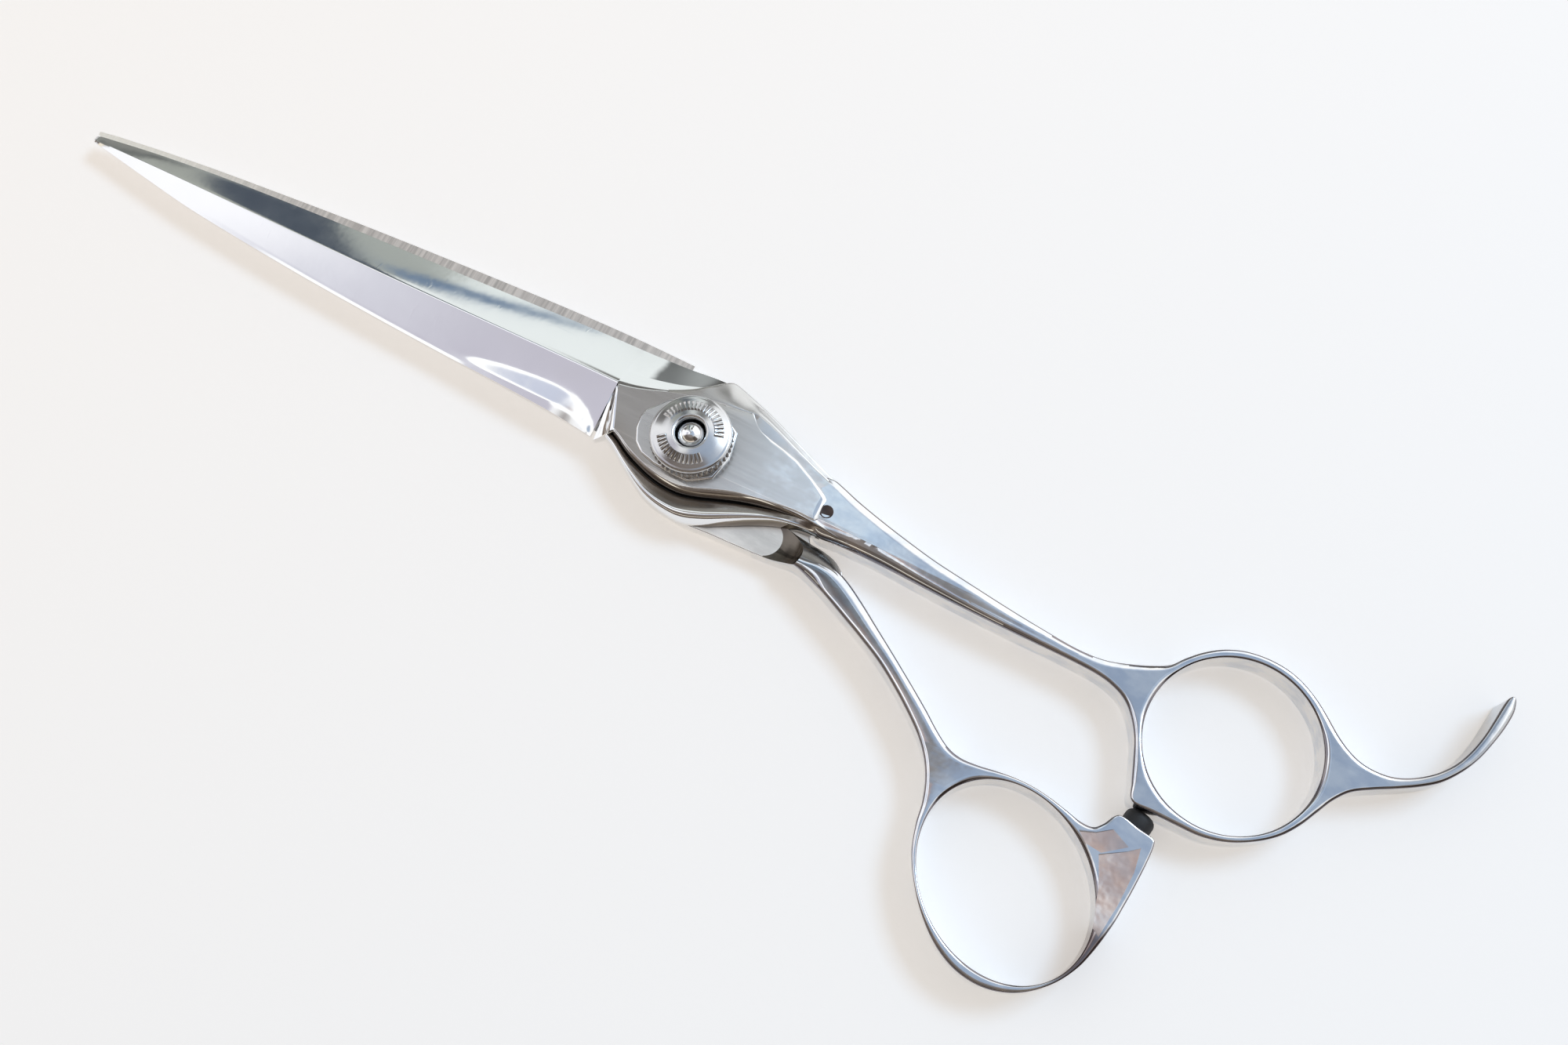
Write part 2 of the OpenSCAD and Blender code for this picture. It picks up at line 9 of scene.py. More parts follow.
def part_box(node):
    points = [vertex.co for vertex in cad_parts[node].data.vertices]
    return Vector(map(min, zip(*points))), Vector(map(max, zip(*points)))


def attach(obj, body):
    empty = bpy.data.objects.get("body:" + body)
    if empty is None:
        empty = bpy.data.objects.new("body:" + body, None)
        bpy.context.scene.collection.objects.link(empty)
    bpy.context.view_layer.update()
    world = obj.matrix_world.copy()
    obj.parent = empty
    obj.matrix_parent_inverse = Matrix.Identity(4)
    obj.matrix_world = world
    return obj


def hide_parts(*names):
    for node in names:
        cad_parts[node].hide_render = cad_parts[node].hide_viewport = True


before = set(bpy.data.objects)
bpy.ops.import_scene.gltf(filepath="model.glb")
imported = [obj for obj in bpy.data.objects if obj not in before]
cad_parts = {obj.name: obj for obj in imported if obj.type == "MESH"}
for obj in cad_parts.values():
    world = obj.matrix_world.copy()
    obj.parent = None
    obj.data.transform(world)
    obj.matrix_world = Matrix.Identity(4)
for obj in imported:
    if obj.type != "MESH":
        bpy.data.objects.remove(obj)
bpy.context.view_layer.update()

bl_info = {
    "name": "Hair cutting shears",
    "version": (1, 0, 0),
    "blender": (4, 5, 0),
    "location": "3D View > Sidebar > Shears",
    "description": "Dresses the packed shears with finished pieces, steel finishes and a studio",
    "category": "Object",
}

MM = 0.001

# heights of the faces, in millimetres above the resting plane
TOP = 5.2
HANDLE_TOP = 5.1
FACE = 2.7
MATE = 2.82
BACK = 0.6
RIDGE = 5.1
EDGE = MATE + 0.05
STEP_FLOOR = FACE - 0.12

# degrees between two faces from which the edge between them is drawn sharp
SHARP = 32.0
# roundings under this width, in millimetres, show the rims' painted dark reflection on one more strip
NARROW = 0.8
# shares of a wall's thickness that the roundings of a bar and of a ring's opening may take up
BAR_SHARE, HOLE_SHARE = 0.46, 0.42
# widest rounding of a ring's opening, in millimetres
HOLE_ROUNDING = 0.72


# ---------------------------------------------------------------- curves
def smooth(points, n):
    """A smooth curve through given points, with n steps between each two."""
    out, m = [], len(points)
    for i in range(m - 1):
        a, b, c, d = points[max(i - 1, 0)], points[i], points[i + 1], points[min(i + 2, m - 1)]
        for k in range(n):
            t = k / n
            out.append(tuple(
                0.5 * (2 * q + (r - p) * t + (2 * p - 5 * q + 4 * r - s) * t * t + (3 * q - p - 3 * r + s) * t ** 3)
                for p, q, r, s in zip(a, b, c, d)))
    out.append(tuple(points[-1]))
    return out


def step(x, a, b):
    """0 at a, 1 at b, smooth between."""
    t = min(1.0, max(0.0, (x - a) / (b - a)))
    return t * t * (3 - 2 * t)


def mix(a, b, t):
    return tuple(p + (q - p) * t for p, q in zip(a, b))


def dist(a, b):
    return math.hypot(a[0] - b[0], a[1] - b[1])


def inward_ways(loop):
    """For each point of a closed outline, the step to its left that keeps the walls' offset even."""
    ways = []
    for i, b in enumerate(loop):
        a, c = loop[i - 1], loop[(i + 1) % len(loop)]
        u = Vector((b[0] - a[0], b[1] - a[1])).normalized()
        w = Vector((c[0] - b[0], c[1] - b[1])).normalized()
        t = (u + w).normalized() if (u + w).length > 1e-6 else u
        grow = 1.0 / max(0.6, t.dot(u))
        ways.append((-t.y * grow, t.x * grow))
    return ways


# ---------------------------------------------------------------- meshes
class Shape:
    """Collects faces in millimetres and turns them into one object."""

    def __init__(self):
        self.verts, self.faces, self.kinds = [], [], []

    def skin(self, rings, kinds=None, kind=0, caps=True):
        """A closed skin through rings of equal length. kinds names the finish of each strip round the ring."""
        n, base = len(rings[0]), len(self.verts)
        for ring in rings:
            self.verts += [tuple(p) for p in ring]
        for i in range(len(rings) - 1):
            a, b = base + i * n, base + (i + 1) * n
            for j in range(n):
                k = (j + 1) % n
                self.faces.append((a + j, b + j, b + k, a + k))
                self.kinds.append(kinds[j] if kinds else kind)
        if caps:
            for i, turn in ((0, 1), (len(rings) - 1, -1)):
                ids = [base + i * n + j for j in range(n)][::turn]
                flat = [Vector(self.verts[q]) for q in ids]
                for tri in tessellate_polygon([flat]):
                    self.faces.append(tuple(ids[q] for q in tri))
                    self.kinds.append(kind)

    def slab(self, outer, holes=(), z0=0.0, z1=1.0, edge=0.3, low=0.3, kind=0, wall_kind=None, rim_reflection_kind=None,
             steps=5, drop=None):
        """An upright plate with rounded edges. outer runs anticlockwise and holes run clockwise.

        z1 is a number or a function of x and y. low is the size of the lower rounding. edge is the width of the
        upper one and drop the most that it falls: one number, or a list for each loop with one for each point.
        """
        loops = [outer] + list(holes)
        tops, bottoms = [], []
        top = z1 if callable(z1) else (lambda x, y: z1)
        edges = edge if isinstance(edge, list) and isinstance(edge[0], list) else [edge] * len(loops)
        drops = drop if isinstance(drop, list) else [drop] * len(loops)
        turns = [math.pi / 2 * k / steps for k in range(steps + 1)]
        for loop, e, d in zip(loops, edges, drops):
            m = len(loop)
            widths = e if isinstance(e, list) else [e] * m
            falls = d if isinstance(d, list) else [d] * m
            inward = inward_ways(loop)
            rows = []
            for f in turns[::-1]:
                row = []
                for (px, py), (qx, qy), r in zip(loop, inward, widths):
                    r = min(low, r)
                    x, y = px + qx * r * (1 - math.cos(f)), py + qy * r * (1 - math.cos(f))
                    row.append((x, y, z0 + r * (1 - math.sin(f))))
                rows.append(row)
            for f in turns:
                row = []
                for (px, py), (qx, qy), r, v in zip(loop, inward, widths, falls):
                    x, y = px + qx * r * (1 - math.cos(f)), py + qy * r * (1 - math.cos(f))
                    v = min(r, 1.0 if v is None else v)
                    row.append((x, y, top(px, py) - v * (1 - math.sin(f))))
                rows.append(row)
            base = len(self.verts)
            for row in rows:
                self.verts += row
            for i in range(len(rows) - 1):
                a, b = base + i * m, base + (i + 1) * m
                for j in range(m):
                    k = (j + 1) % m
                    self.faces.append((a + j, a + k, b + k, b + j))
                    # the first strips of the upper rounding take the rim finish, a painted dark reflection
                    rim = i in (steps + 1, steps + 2) or (i == steps + 3 and widths[j] < NARROW)
                    if rim and rim_reflection_kind is not None:
                        self.kinds.append(rim_reflection_kind)
                    else:
                        self.kinds.append(kind if wall_kind is None else wall_kind)
            bottoms.append([base + j for j in range(m)])
            tops.append([base + (len(rows) - 1) * m + j for j in range(m)])
        for ids, turn in ((tops, 1), (bottoms, -1)):
            flat = [q for loop in ids for q in loop]
            plan = [[Vector((self.verts[q][0], self.verts[q][1], 0)) for q in loop] for loop in ids]
            for tri in tessellate_polygon(plan):
                self.faces.append(tuple(flat[q] for q in tri[::turn]))
                self.kinds.append(kind)

    def lathe(self, profile, centre=(0, 0, 0), seg=96, kind=0):
        """Turns (radius, height) points round +Z. The profile starts and ends on the axis."""
        rows = []
        for r, z in profile:
            if r < 1e-6:
                rows.append([len(self.verts)])
                self.verts.append((centre[0], centre[1], centre[2] + z))
            else:
                rows.append(list(range(len(self.verts), len(self.verts) + seg)))
                for i in range(seg):
                    a = 2 * math.pi * i / seg
                    self.verts.append((centre[0] + r * math.cos(a), centre[1] + r * math.sin(a), centre[2] + z))
        for i in range(len(rows) - 1):
            a, b = rows[i], rows[i + 1]
            for j in range(seg):
                k = (j + 1) % seg
                if len(a) == 1 and len(b) == 1:
                    continue
                if len(a) == 1:
                    f = (a[0], b[j], b[k])
                elif len(b) == 1:
                    f = (a[j], b[0], a[k])
                else:
                    f = (a[j], b[j], b[k], a[k])
                self.faces.append(f)
                self.kinds.append(kind)

    def turn(self, matrix):
        self.verts = [tuple(matrix @ Vector(v)) for v in self.verts]

    def make(self, name, finishes, sharp=SHARP, weigh=True):
        """The collected faces as an object in metres, without doubled points or faces."""
        mesh = bpy.data.meshes.new(name)
        bm = bmesh.new()
        vs = [bm.verts.new((x * MM, y * MM, z * MM)) for x, y, z in self.verts]
        for f, kind in zip(self.faces, self.kinds):
            ids = list(dict.fromkeys(f))
            if len(ids) < 3:
                continue
            try:
                face = bm.faces.new([vs[q] for q in ids])
            except ValueError:
                continue
            face.material_index = kind
        bmesh.ops.remove_doubles(bm, verts=bm.verts, dist=2e-7)
        bmesh.ops.dissolve_degenerate(bm, edges=bm.edges, dist=1e-7)
        loose = [v for v in bm.verts if not v.link_faces]
        if loose:
            bmesh.ops.delete(bm, geom=loose, context="VERTS")
        bmesh.ops.recalc_face_normals(bm, faces=bm.faces)
        mark_sharp(bm, sharp)
        bm.to_mesh(mesh)
        bm.free()
        obj = bpy.data.objects.new(name, mesh)
        bpy.context.scene.collection.objects.link(obj)
        for finish in finishes:
            mesh.materials.append(finish)
        if weigh:
            even_shading(obj)
        return obj


def mark_sharp(bm, sharp):
    """Smooth faces, and sharp edges where two of them meet at more than sharp degrees."""
    limit = math.radians(sharp)
    for f in bm.faces:
        f.smooth = True
    for e in bm.edges:
        e.smooth = len(e.link_faces) == 2 and e.calc_face_angle(0.0) <= limit


def even_shading(obj):
    """Lets large flat faces lead the shading of the narrow roundings beside them."""
    m = obj.modifiers.new("even shading", "WEIGHTED_NORMAL")
    m.mode, m.keep_sharp = "FACE_AREA", True


def carve(obj, cutter):
    """Takes the cutter's shape away from obj and removes the cutter."""
    m = obj.modifiers.new("cut", "BOOLEAN")
    m.operation, m.solver, m.object = "DIFFERENCE", "EXACT", cutter
    m.material_mode = "TRANSFER"
    settle(obj)
    bpy.data.objects.remove(cutter, do_unlink=True)


def settle(obj):
    """Makes the evaluated mesh the object's own plain mesh and removes its modifiers."""
    dg = bpy.context.evaluated_depsgraph_get()
    dg.update()
    mesh = bpy.data.meshes.new_from_object(obj.evaluated_get(dg), preserve_all_data_layers=True, depsgraph=dg)
    old = obj.data
    obj.modifiers.clear()
    obj.data = mesh
    mesh.name = obj.name
    if old.users == 0:
        bpy.data.meshes.remove(old)
    return obj


def even(obj, sharp=SHARP):
    """Marks sharp edges by angle and evens the shading of the flat faces."""
    bm = bmesh.new()
    bm.from_mesh(obj.data)
    mark_sharp(bm, sharp)
    bm.to_mesh(obj.data)
    bm.free()
    even_shading(obj)


# ---------------------------------------------------------------- outlines of the halves
# shank, ring and rest of the finger half: upper x, upper y, lower x, lower y, upper rounding, lower rounding
FINGER_BAR = [
    (13.2, 4.10, 13.2, -1.60, 0.30, 0.30), (15.0, 3.75, 15.0, -1.70, 0.40, 0.40),
    (16.6, 3.60, 16.6, -2.00, 0.70, 0.70), (17.9, 3.70, 17.9, -3.00, 0.95, 1.30),
    (19.2, 3.40, 19.2, -3.48, 1.10, 1.50), (21.5, 2.72, 21.5, -3.28, 1.20, 1.60),
    (24.5, 1.98, 24.5, -3.16, 1.20, 1.60), (28, 1.22, 28, -3.14, 1.20, 1.50), (33, 0.28, 33, -3.30, 1.15, 1.20),
    (38, -0.35, 38, -3.40, 1.10, 0.95), (43, -0.93, 43, -3.42, 1.10, 0.80), (48, -1.42, 48, -3.35, 1.00, 0.70),
    (52.5, -1.72, 52.5, -3.30, 0.90, 0.60), (56, -1.42, 55.6, -3.38, 0.85, 0.55),
    (59, -0.42, 57.8, -3.75, 0.80, 0.50), (61.2, 0.55, 59.8, -4.6, 0.70, 0.50), (62.9, 1.55, 61.4, -6.1, 0.60, 0.50),
    (64.1, 3.05, 62.7, -8.1, 0.50, 0.50), (65.6, 4.62, 63.7, -10.5, 0.50, 0.50),
    (67.4, 5.95, 64.6, -12.9, 0.50, 0.45), (69.4, 6.88, 65.5, -14.85, 0.50, 0.25),
    (71.4, 7.32, 68.0, -15.0, 0.50, 0.45), (73.4, 7.42, 71.0, -15.0, 0.50, 0.50),
    (75.4, 7.18, 74.0, -14.85, 0.50, 0.50), (77.4, 6.52, 76.9, -14.0, 0.50, 0.50),
    (79.4, 5.45, 79.5, -12.5, 0.55, 0.50), (81.3, 4.12, 81.6, -10.7, 0.60, 0.50),
    (83.0, 2.82, 83.1, -8.6, 0.60, 0.50), (84.7, 1.80, 84.2, -6.4, 0.55, 0.50), (86.4, 1.18, 85.2, -4.35, 0.55, 0.45),
    (88.2, 1.02, 86.6, -2.5, 0.50, 0.40), (90.0, 1.28, 88.7, -1.05, 0.50, 0.40), (91.6, 1.95, 91.0, 0.30, 0.45, 0.40),
    (93.1, 2.95, 93.2, 1.72, 0.42, 0.40), (94.5, 4.25, 95.1, 3.30, 0.40, 0.40), (95.8, 6.05, 96.7, 5.50, 0.40, 0.40),
    (96.7, 8.1, 97.8, 7.75, 0.42, 0.42), (97.3, 10.3, 98.55, 10.1, 0.45, 0.45), (97.65, 12.5, 99.1, 12.4, 0.50, 0.50),
    (97.9, 14.4, 99.35, 14.4, 0.55, 0.55), (98.15, 15.6, 99.15, 15.65, 0.42, 0.42),
    (98.5, 16.15, 98.85, 16.18, 0.15, 0.15)]
# openings of the rings: centre x, centre y, half length, half width, turn in degrees
FINGER_HOLE = (72.95, -3.75, 10.25, 10.25, 0)
THUMB_HOLE = (56.85, -29.5, 11.65, 9.5, -37.5)

# shank, ring and bumper lug of the thumb half
THUMB_BAR = [
    (12.6, -5.6, 12.6, -8.62, 0.4, 0.4), (15.2, -6.4, 15.2, -8.36, 0.45, 0.4), (17.4, -6.85, 17.4, -8.05, 0.5, 0.35),
    (19.0, -6.75, 19.0, -8.15, 0.6, 0.6), (21.0, -6.38, 21.0, -8.75, 0.75, 1.0), (23.2, -6.25, 22.9, -9.45, 1.2, 0.5),
    (25.2, -6.95, 24.7, -10.2, 1.25, 0.5), (27.8, -8.4, 27.0, -11.2, 1.2, 0.5),
    (30.6, -10.15, 29.6, -12.35, 1.1, 0.5), (34.0, -12.28, 32.9, -13.95, 1.0, 0.5),
    (37.3, -14.38, 36.2, -16.0, 0.95, 0.5), (40.2, -16.28, 39.0, -18.0, 0.9, 0.5),
    (42.6, -17.98, 41.1, -19.75, 0.85, 0.5), (44.6, -19.12, 42.7, -21.6, 0.8, 0.55),
    (46.4, -19.52, 43.9, -23.7, 0.7, 0.5), (48.4, -19.38, 44.7, -26.0, 0.55, 0.5),
    (50.6, -18.98, 45.2, -28.6, 0.55, 0.5), (52.9, -18.68, 46.2, -31.6, 0.55, 0.5),
    (55.2, -18.64, 47.9, -34.4, 0.55, 0.5), (57.5, -18.90, 50.0, -36.9, 0.55, 0.5),
    (59.6, -19.30, 52.6, -39.1, 0.55, 0.5), (61.4, -19.66, 55.3, -40.5, 0.55, 0.5),
    (62.9, -19.55, 58.0, -41.05, 0.55, 0.5), (63.8, -18.65, 60.5, -40.85, 0.45, 0.5),
    (64.5, -17.35, 62.8, -40.0, 0.30, 0.5), (65.3, -16.92, 64.8, -38.6, 0.20, 0.5),
    (67.4, -17.28, 66.6, -36.6, 0.32, 0.5), (69.3, -17.62, 67.9, -34.3, 0.22, 0.5),
    (69.75, -18.3, 68.6, -32.2, 0.30, 0.5), (69.85, -20.3, 69.1, -30.0, 0.35, 0.45),
    (69.8, -22.6, 69.45, -27.8, 0.4, 0.4), (69.7, -24.6, 69.6, -26.0, 0.4, 0.4)]
# shoulder at the root of the thumb shank: x, y of its foot, y of its crest
SHOULDER = [
    (14.0, -3.6, -6.6), (16.4, -4.05, -6.75), (18.6, -4.3, -6.8), (20.6, -4.45, -6.7), (22.4, -4.95, -6.6),
    (23.4, -5.6, -6.75), (24.0, -6.3, -7.0)]

# blades: x, cutting edge y, ridge y, spine y, share of the full ridge height
FINGER_BLADE = [
    (-94.2, 1.72, 1.40, 1.12, 0.03), (-93.7, 2.00, 1.14, 0.86, 0.14), (-92, 2.28, 1.13, 0.60, 0.19),
    (-88, 2.90, 1.20, 0.02, 0.29), (-84, 3.45, 1.28, -0.55, 0.37), (-76, 4.36, 1.40, -1.60, 0.51),
    (-66, 5.22, 1.53, -2.42, 0.63), (-56, 5.94, 1.66, -3.05, 0.73), (-46, 6.56, 1.82, -3.50, 0.81),
    (-36, 7.12, 2.05, -3.85, 0.87), (-26, 7.75, 2.32, -4.15, 0.93), (-18, 8.24, 2.50, -4.45, 0.98),
    (-12.2, 8.50, 2.64, -4.85, 1.00)]
THUMB_BLADE = [
    (-94.3, 2.68, 2.45, 2.20, 0.05), (-92, 3.10, 2.25, 1.45, 0.14), (-90, 3.40, 2.15, 0.95, 0.22),
    (-84, 4.22, 2.05, 0.05, 0.37), (-76, 5.15, 2.1, -0.65, 0.54), (-66, 6.12, 2.4, -1.35, 0.64),
    (-56, 7.02, 2.8, -1.95, 0.72), (-46, 7.78, 3.1, -2.45, 0.80), (-36, 8.46, 3.4, -2.80, 0.87),
    (-26, 9.08, 3.6, -3.10, 0.93), (-18, 9.46, 3.8, -3.40, 0.98), (-12.2, 9.62, 3.9, -3.75, 1.00),
    (-5.4, 9.66, 3.9, -4.6, 1.00)]
# the two soft bends of the scoop at the root of the blade: x, y of the upper bend, y of the lower bend
SCOOP = [
    (-36, -2.7, -3.25), (-32, -2.45, -3.35), (-28, -1.85, -3.45), (-24, -1.25, -3.45), (-20, -0.95, -3.4),
    (-17, -1.1, -3.35), (-15, -1.75, -3.6), (-13.3, -3.0, -4.2), (-12.1, -4.4, -4.8)]

# crease where the polished blade face ends against the satin tang, with the cutting edge opposite it
EDGE_RUN = [
    (-12.2, 8.50), (-10.4, 8.60), (-8.6, 8.72), (-6.8, 8.84), (-5.0, 9.00), (-3.4, 9.20), (-1.9, 9.36), (-0.8, 9.42),
    (0.1, 9.42), (0.8, 9.38)]
CREASE = [
    (-12.2, 2.64), (-10.6, 2.98), (-9.1, 3.45), (-7.6, 4.02), (-6.1, 4.65), (-4.6, 5.42), (-3.1, 6.35), (-1.6, 7.55),
    (-0.4, 8.65), (0.6, 9.30)]
# flank between the flat of the tang and its upper contour
FLANK_OUT = [
    (-6.1, 4.65), (-4.6, 5.42), (-3.1, 6.35), (-1.6, 7.55), (-0.4, 8.65), (0.7, 9.34), (2.2, 9.12), (4.0, 8.66),
    (6.3, 7.98), (9.0, 7.05), (12.0, 5.95), (15.6, 4.60), (18.8, 3.52)]
FLANK_IN = [
    (-5.9, 4.30), (-4.4, 4.75), (-2.9, 5.15), (-1.5, 5.50), (-0.1, 5.80), (1.2, 6.02), (2.4, 6.20), (3.8, 6.42),
    (5.8, 6.72), (8.5, 5.98), (11.4, 4.95), (14.8, 3.86), (18.2, 2.82)]
BAND_IN = [
    (5.6, 5.5), (6.6, 5.05), (8.6, 4.62), (10.6, 4.22), (12.6, 3.75), (14.4, 2.95), (16.3, 2.0), (18.1, 1.0),
    (18.9, 0.2)]
PLATE_LO = [
    (-9.6, -3.15), (-8.6, -3.55), (-7.0, -4.35), (-5.4, -4.98), (-3.2, -5.62), (-1.0, -5.95), (1.2, -5.9),
    (3.2, -5.3), (5.4, -4.35), (7.8, -3.5), (10.4, -2.95), (13.2, -2.45), (16.0, -2.15), (19.2, -2.3), (22.0, -2.5)]
BAR_LO = [
    (-10.2, -4.45), (-8.6, -5.25), (-6.5, -6.6), (-4.4, -7.85), (-2.0, -9.0), (0.6, -9.55), (3.2, -9.5), (5.8, -8.55),
    (8.4, -7.15), (11.0, -5.7), (13.8, -4.4), (16.6, -3.7), (19.2, -3.5), (22.0, -3.24), (25.0, -3.1)]
PLATE_TIP = [
    (12.6, 3.75), (15.4, 2.48), (17.7, 1.28), (18.12, 0.85), (18.1, -0.2), (18.3, -1.75), (18.0, -2.12)]
THUMB_TANG = [
    (-9.5, -3.95), (-7.0, -5.35), (-4.6, -7.0), (-2.0, -8.35), (0.6, -9.05), (3.4, -9.25), (6.9, -8.95),
    (10.5, -8.75), (14.4, -8.45), (17.2, -8.02), (18.4, -7.86), (21.0, -8.3), (23.4, -9.0), (24.3, -7.4),
    (24.0, -6.1), (22.4, -4.9), (20.6, -4.45), (18.6, -4.3), (17.6, -2.2), (16.2, 0.6), (13.4, 3.3), (9.4, 5.4),
    (5.0, 7.0), (1.0, 8.3), (-2.0, 8.75), (-5.0, 8.85), (-6.2, 9.1), (-9.5, 9.0)]


def soften(rounds, least=0.0):
    """Evens out the roundings along a closed outline, but leaves those that aren't over least."""
    n = len(rounds)
    for _ in range(4):
        rounds = [(rounds[i - 1] + 2 * rounds[i] + rounds[(i + 1) % n]) / 4 if rounds[i] > least else rounds[i]
                  for i in range(n)]
    return rounds


def bar_outline(stations, n, gap):
    """Anticlockwise outline of a bar with its roundings. gap gives the clearance of a point from the ring's opening."""
    rows = smooth(stations, n)
    pts, rounds = [], []
    for side, order, size in ((2, 1, 5), (0, -1, 4)):
        for r in rows[::order]:
            x, y = r[side:side + 2]
            thick = min(dist(r[2:4], r[0:2]), gap(x, y))
            pts.append((x, y))
            rounds.append(min(r[size], BAR_SHARE * thick))
    return pts, soften(rounds, 0.26)


def hole_outline(cx, cy, a, b, turn, n, outer):
    """Clockwise outline of a ring's opening, with roundings that keep to the wall beside it."""
    pts, rounds = [], []
    c, s = math.cos(math.radians(turn)), math.sin(math.radians(turn))
    for i in range(n):
        t = -2 * math.pi * i / n
        x, y = a * math.cos(t), b * math.sin(t)
        p = (cx + x * c - y * s, cy + x * s + y * c)
        pts.append(p)
        rounds.append(min(HOLE_ROUNDING, HOLE_SHARE * min(dist(p, q) for q in outer)))
    return pts, soften(rounds)


def shank_top(x, y):
    """The shanks stand a little lower beside the tang plate than at the rings."""
    return HANDLE_TOP - 0.17 * (1 - step(x, 22, 46))


def lean(rounds, hole_rounds):
    """Depth of the roundings: round below, flatter above and round the openings, like a polished bevel."""
    half = len(rounds) // 2
    return [[0.75 * r for r in rounds[:half]] + [0.42 * r for r in rounds[half:]], [0.45 * r for r in hole_rounds]]


def round_gap(x, y):
    cx, cy, r = FINGER_HOLE[:3]
    return abs(math.hypot(x - cx, y - cy) - r) if x > 55 else 99


def oval_gap(x, y):
    cx, cy, a, b, turn = THUMB_HOLE
    c, n = math.cos(math.radians(turn)), math.sin(math.radians(turn))
    dx, dy = x - cx, y - cy
    u, v = dx * c + dy * n, dy * c - dx * n
    k = math.hypot(u / a, v / b)
    return abs(k - 1) * math.hypot(u, v) / k if x > 38 else 99


def handle_shape(bar, gap, hole, n, top):
    """A shank with its ring: the bar's outline, and an opening drawn with n points."""
    pts, rounds = bar_outline(bar, 7, gap)
    ring, ring_rounds = hole_outline(*hole, n, pts)
    s = Shape()
    s.slab(pts, [ring], 0.0, top, [rounds, ring_rounds], 0.5, wall_kind=1, rim_reflection_kind=2, drop=lean(rounds, ring_rounds))
    return s


def finger_handle_shape():
    return handle_shape(FINGER_BAR, round_gap, FINGER_HOLE, 168, shank_top)


def thumb_handle_shape():
    bar = [(u, v, x, y, a, min(b, 0.62 * dist((u, v), (x, y)))) for u, v, x, y, a, b in THUMB_BAR]
    return handle_shape(bar, oval_gap, THUMB_HOLE, 176, lambda x, y: shank_top(x + 4, y))


def shoulder_shape():
    """The slope at the root of the thumb shank that falls towards the finger half."""
    # share of the way from foot to crest, and share of the height there
    curve = ((0.03, 0.10), (0.18, 0.34), (0.36, 0.56), (0.56, 0.75), (0.75, 0.89), (0.90, 0.97), (1.0, 1.0))
    s = Shape()
    rings = []
    for x, foot, crest in smooth(SHOULDER, 5):
        w = foot - crest
        ring = [(x, crest - 0.5, FACE - 1.2), (x, foot, FACE - 1.2), (x, foot, FACE - 0.3)]
        ring += [(x, foot - w * q, FACE + (4.86 - FACE) * h) for q, h in curve]
        ring += [(x, crest - 0.5, 4.80)]
        rings.append(ring)
    s.skin(rings)
    return s


# finishes of a blade piece, by slot
POLISHED, SATIN, GROUND, GROOVE, HEEL, SHADE = 0, 1, 2, 2, 3, 4


def lower_face(x, yr, ys, zr, zs, bends):
    """From the ridge down to the spine: a flat facet with a soft lip, and a scoop with two bends near the root."""
    yr -= 0.06
    w = yr - ys
    fall = (zr - zs) / w
    steps, pts, z = 36, [(x, yr, zr)], zr
    near = min(bends, key=lambda b: abs(b[0] - x))
    scoop = step(x, -36, -28)
    lip = step(x, -80, -58) * (1 - step(x, -33, -27))
    for i in range(1, steps + 1):
        y = yr - w * (i - 0.5) / steps
        t = (yr - y) / w
        slope = fall * (1 + 0.10 * math.cos(math.pi * t))
        slope *= 1 - 0.62 * lip * step(y, ys + 0.75, ys + 0.30)
        if scoop > 0:
            upper = step(y, near[1] + 0.75, near[1] - 0.65)
            lower = step(y, near[2] + 0.30, near[2] - 0.35)
            slope *= 1 - (0.93 - 0.40 * step(x, -19, -14)) * scoop * upper * (1 - lower)
        z -= slope * w / steps
        pts.append((x, yr - w * i / steps, z))
    return pts


def add_blade(s):
    """The blade from its tip to the tang, with a hollow in its inner face."""
    rings = []
    bends = smooth(SCOOP, 6)
    for x, ye, yr, ys, k in smooth(FINGER_BLADE, 12):
        zr = EDGE + (RIDGE - EDGE) * k
        zs = MATE + min(0.28 + 0.30 * k, 0.55 * (zr - MATE))
        ring = [(x, ye, MATE), (x, ye, EDGE)]
        for i in range(1, 12):
            t = i / 12
            ring.append((x, ye + (yr + 0.16 - ye) * t, EDGE + (zr - 0.035 - EDGE) * t + 0.10 * k * 4 * t * (1 - t)))
        ring.append((x, yr + 0.14, zr - 0.03))
        ring += lower_face(x, yr, ys, zr, zs, bends)
        z = ring[-1][2]
        ring += [(x, ys - 0.02, MATE + (z - MATE) * 0.5), (x, ys, MATE)]
        ring += [(x, ye + (ys - ye) * t, MATE + 0.08 * (0.2 + 0.8 * k) * 4 * t * (1 - t)) for t in (0.8, 0.6, 0.4, 0.2)]
        rings.append(ring)
    s.skin(rings, kind=POLISHED)


def add_heel(s):
    """The polished face runs on beside the tang and sweeps up to its crease."""
    edge, crease = smooth(EDGE_RUN, 6), smooth(CREASE, 6)
    rings = []
    m = len(edge)
    slope = (RIDGE - EDGE) / (edge[0][1] - crease[0][1])
    for i, (e, c) in enumerate(zip(edge, crease)):
        t = i / (m - 1)
        ring = [(e[0], e[1], MATE), (e[0], e[1], EDGE)]
        for j in range(1, 22):
            p = mix(e, c, j / 22)
            swell = 0.10 * (1 - t) * 4 * (j / 22) * (1 - j / 22)
            ring.append((p[0], p[1], EDGE + slope * (e[1] - p[1]) + swell))
        zc = EDGE + slope * (e[1] - c[1])
        ring += [(c[0], c[1], zc), (c[0] + 0.45, c[1] - 0.9, zc + 0.12), (c[0] + 0.45, c[1] - 0.9, MATE + 0.06)]
        rings.append(ring)
    # the heel's strips take the finish with the painted dark reflection
    s.skin(rings, kinds=[HEEL if 1 <= j <= 15 else POLISHED for j in range(26)])


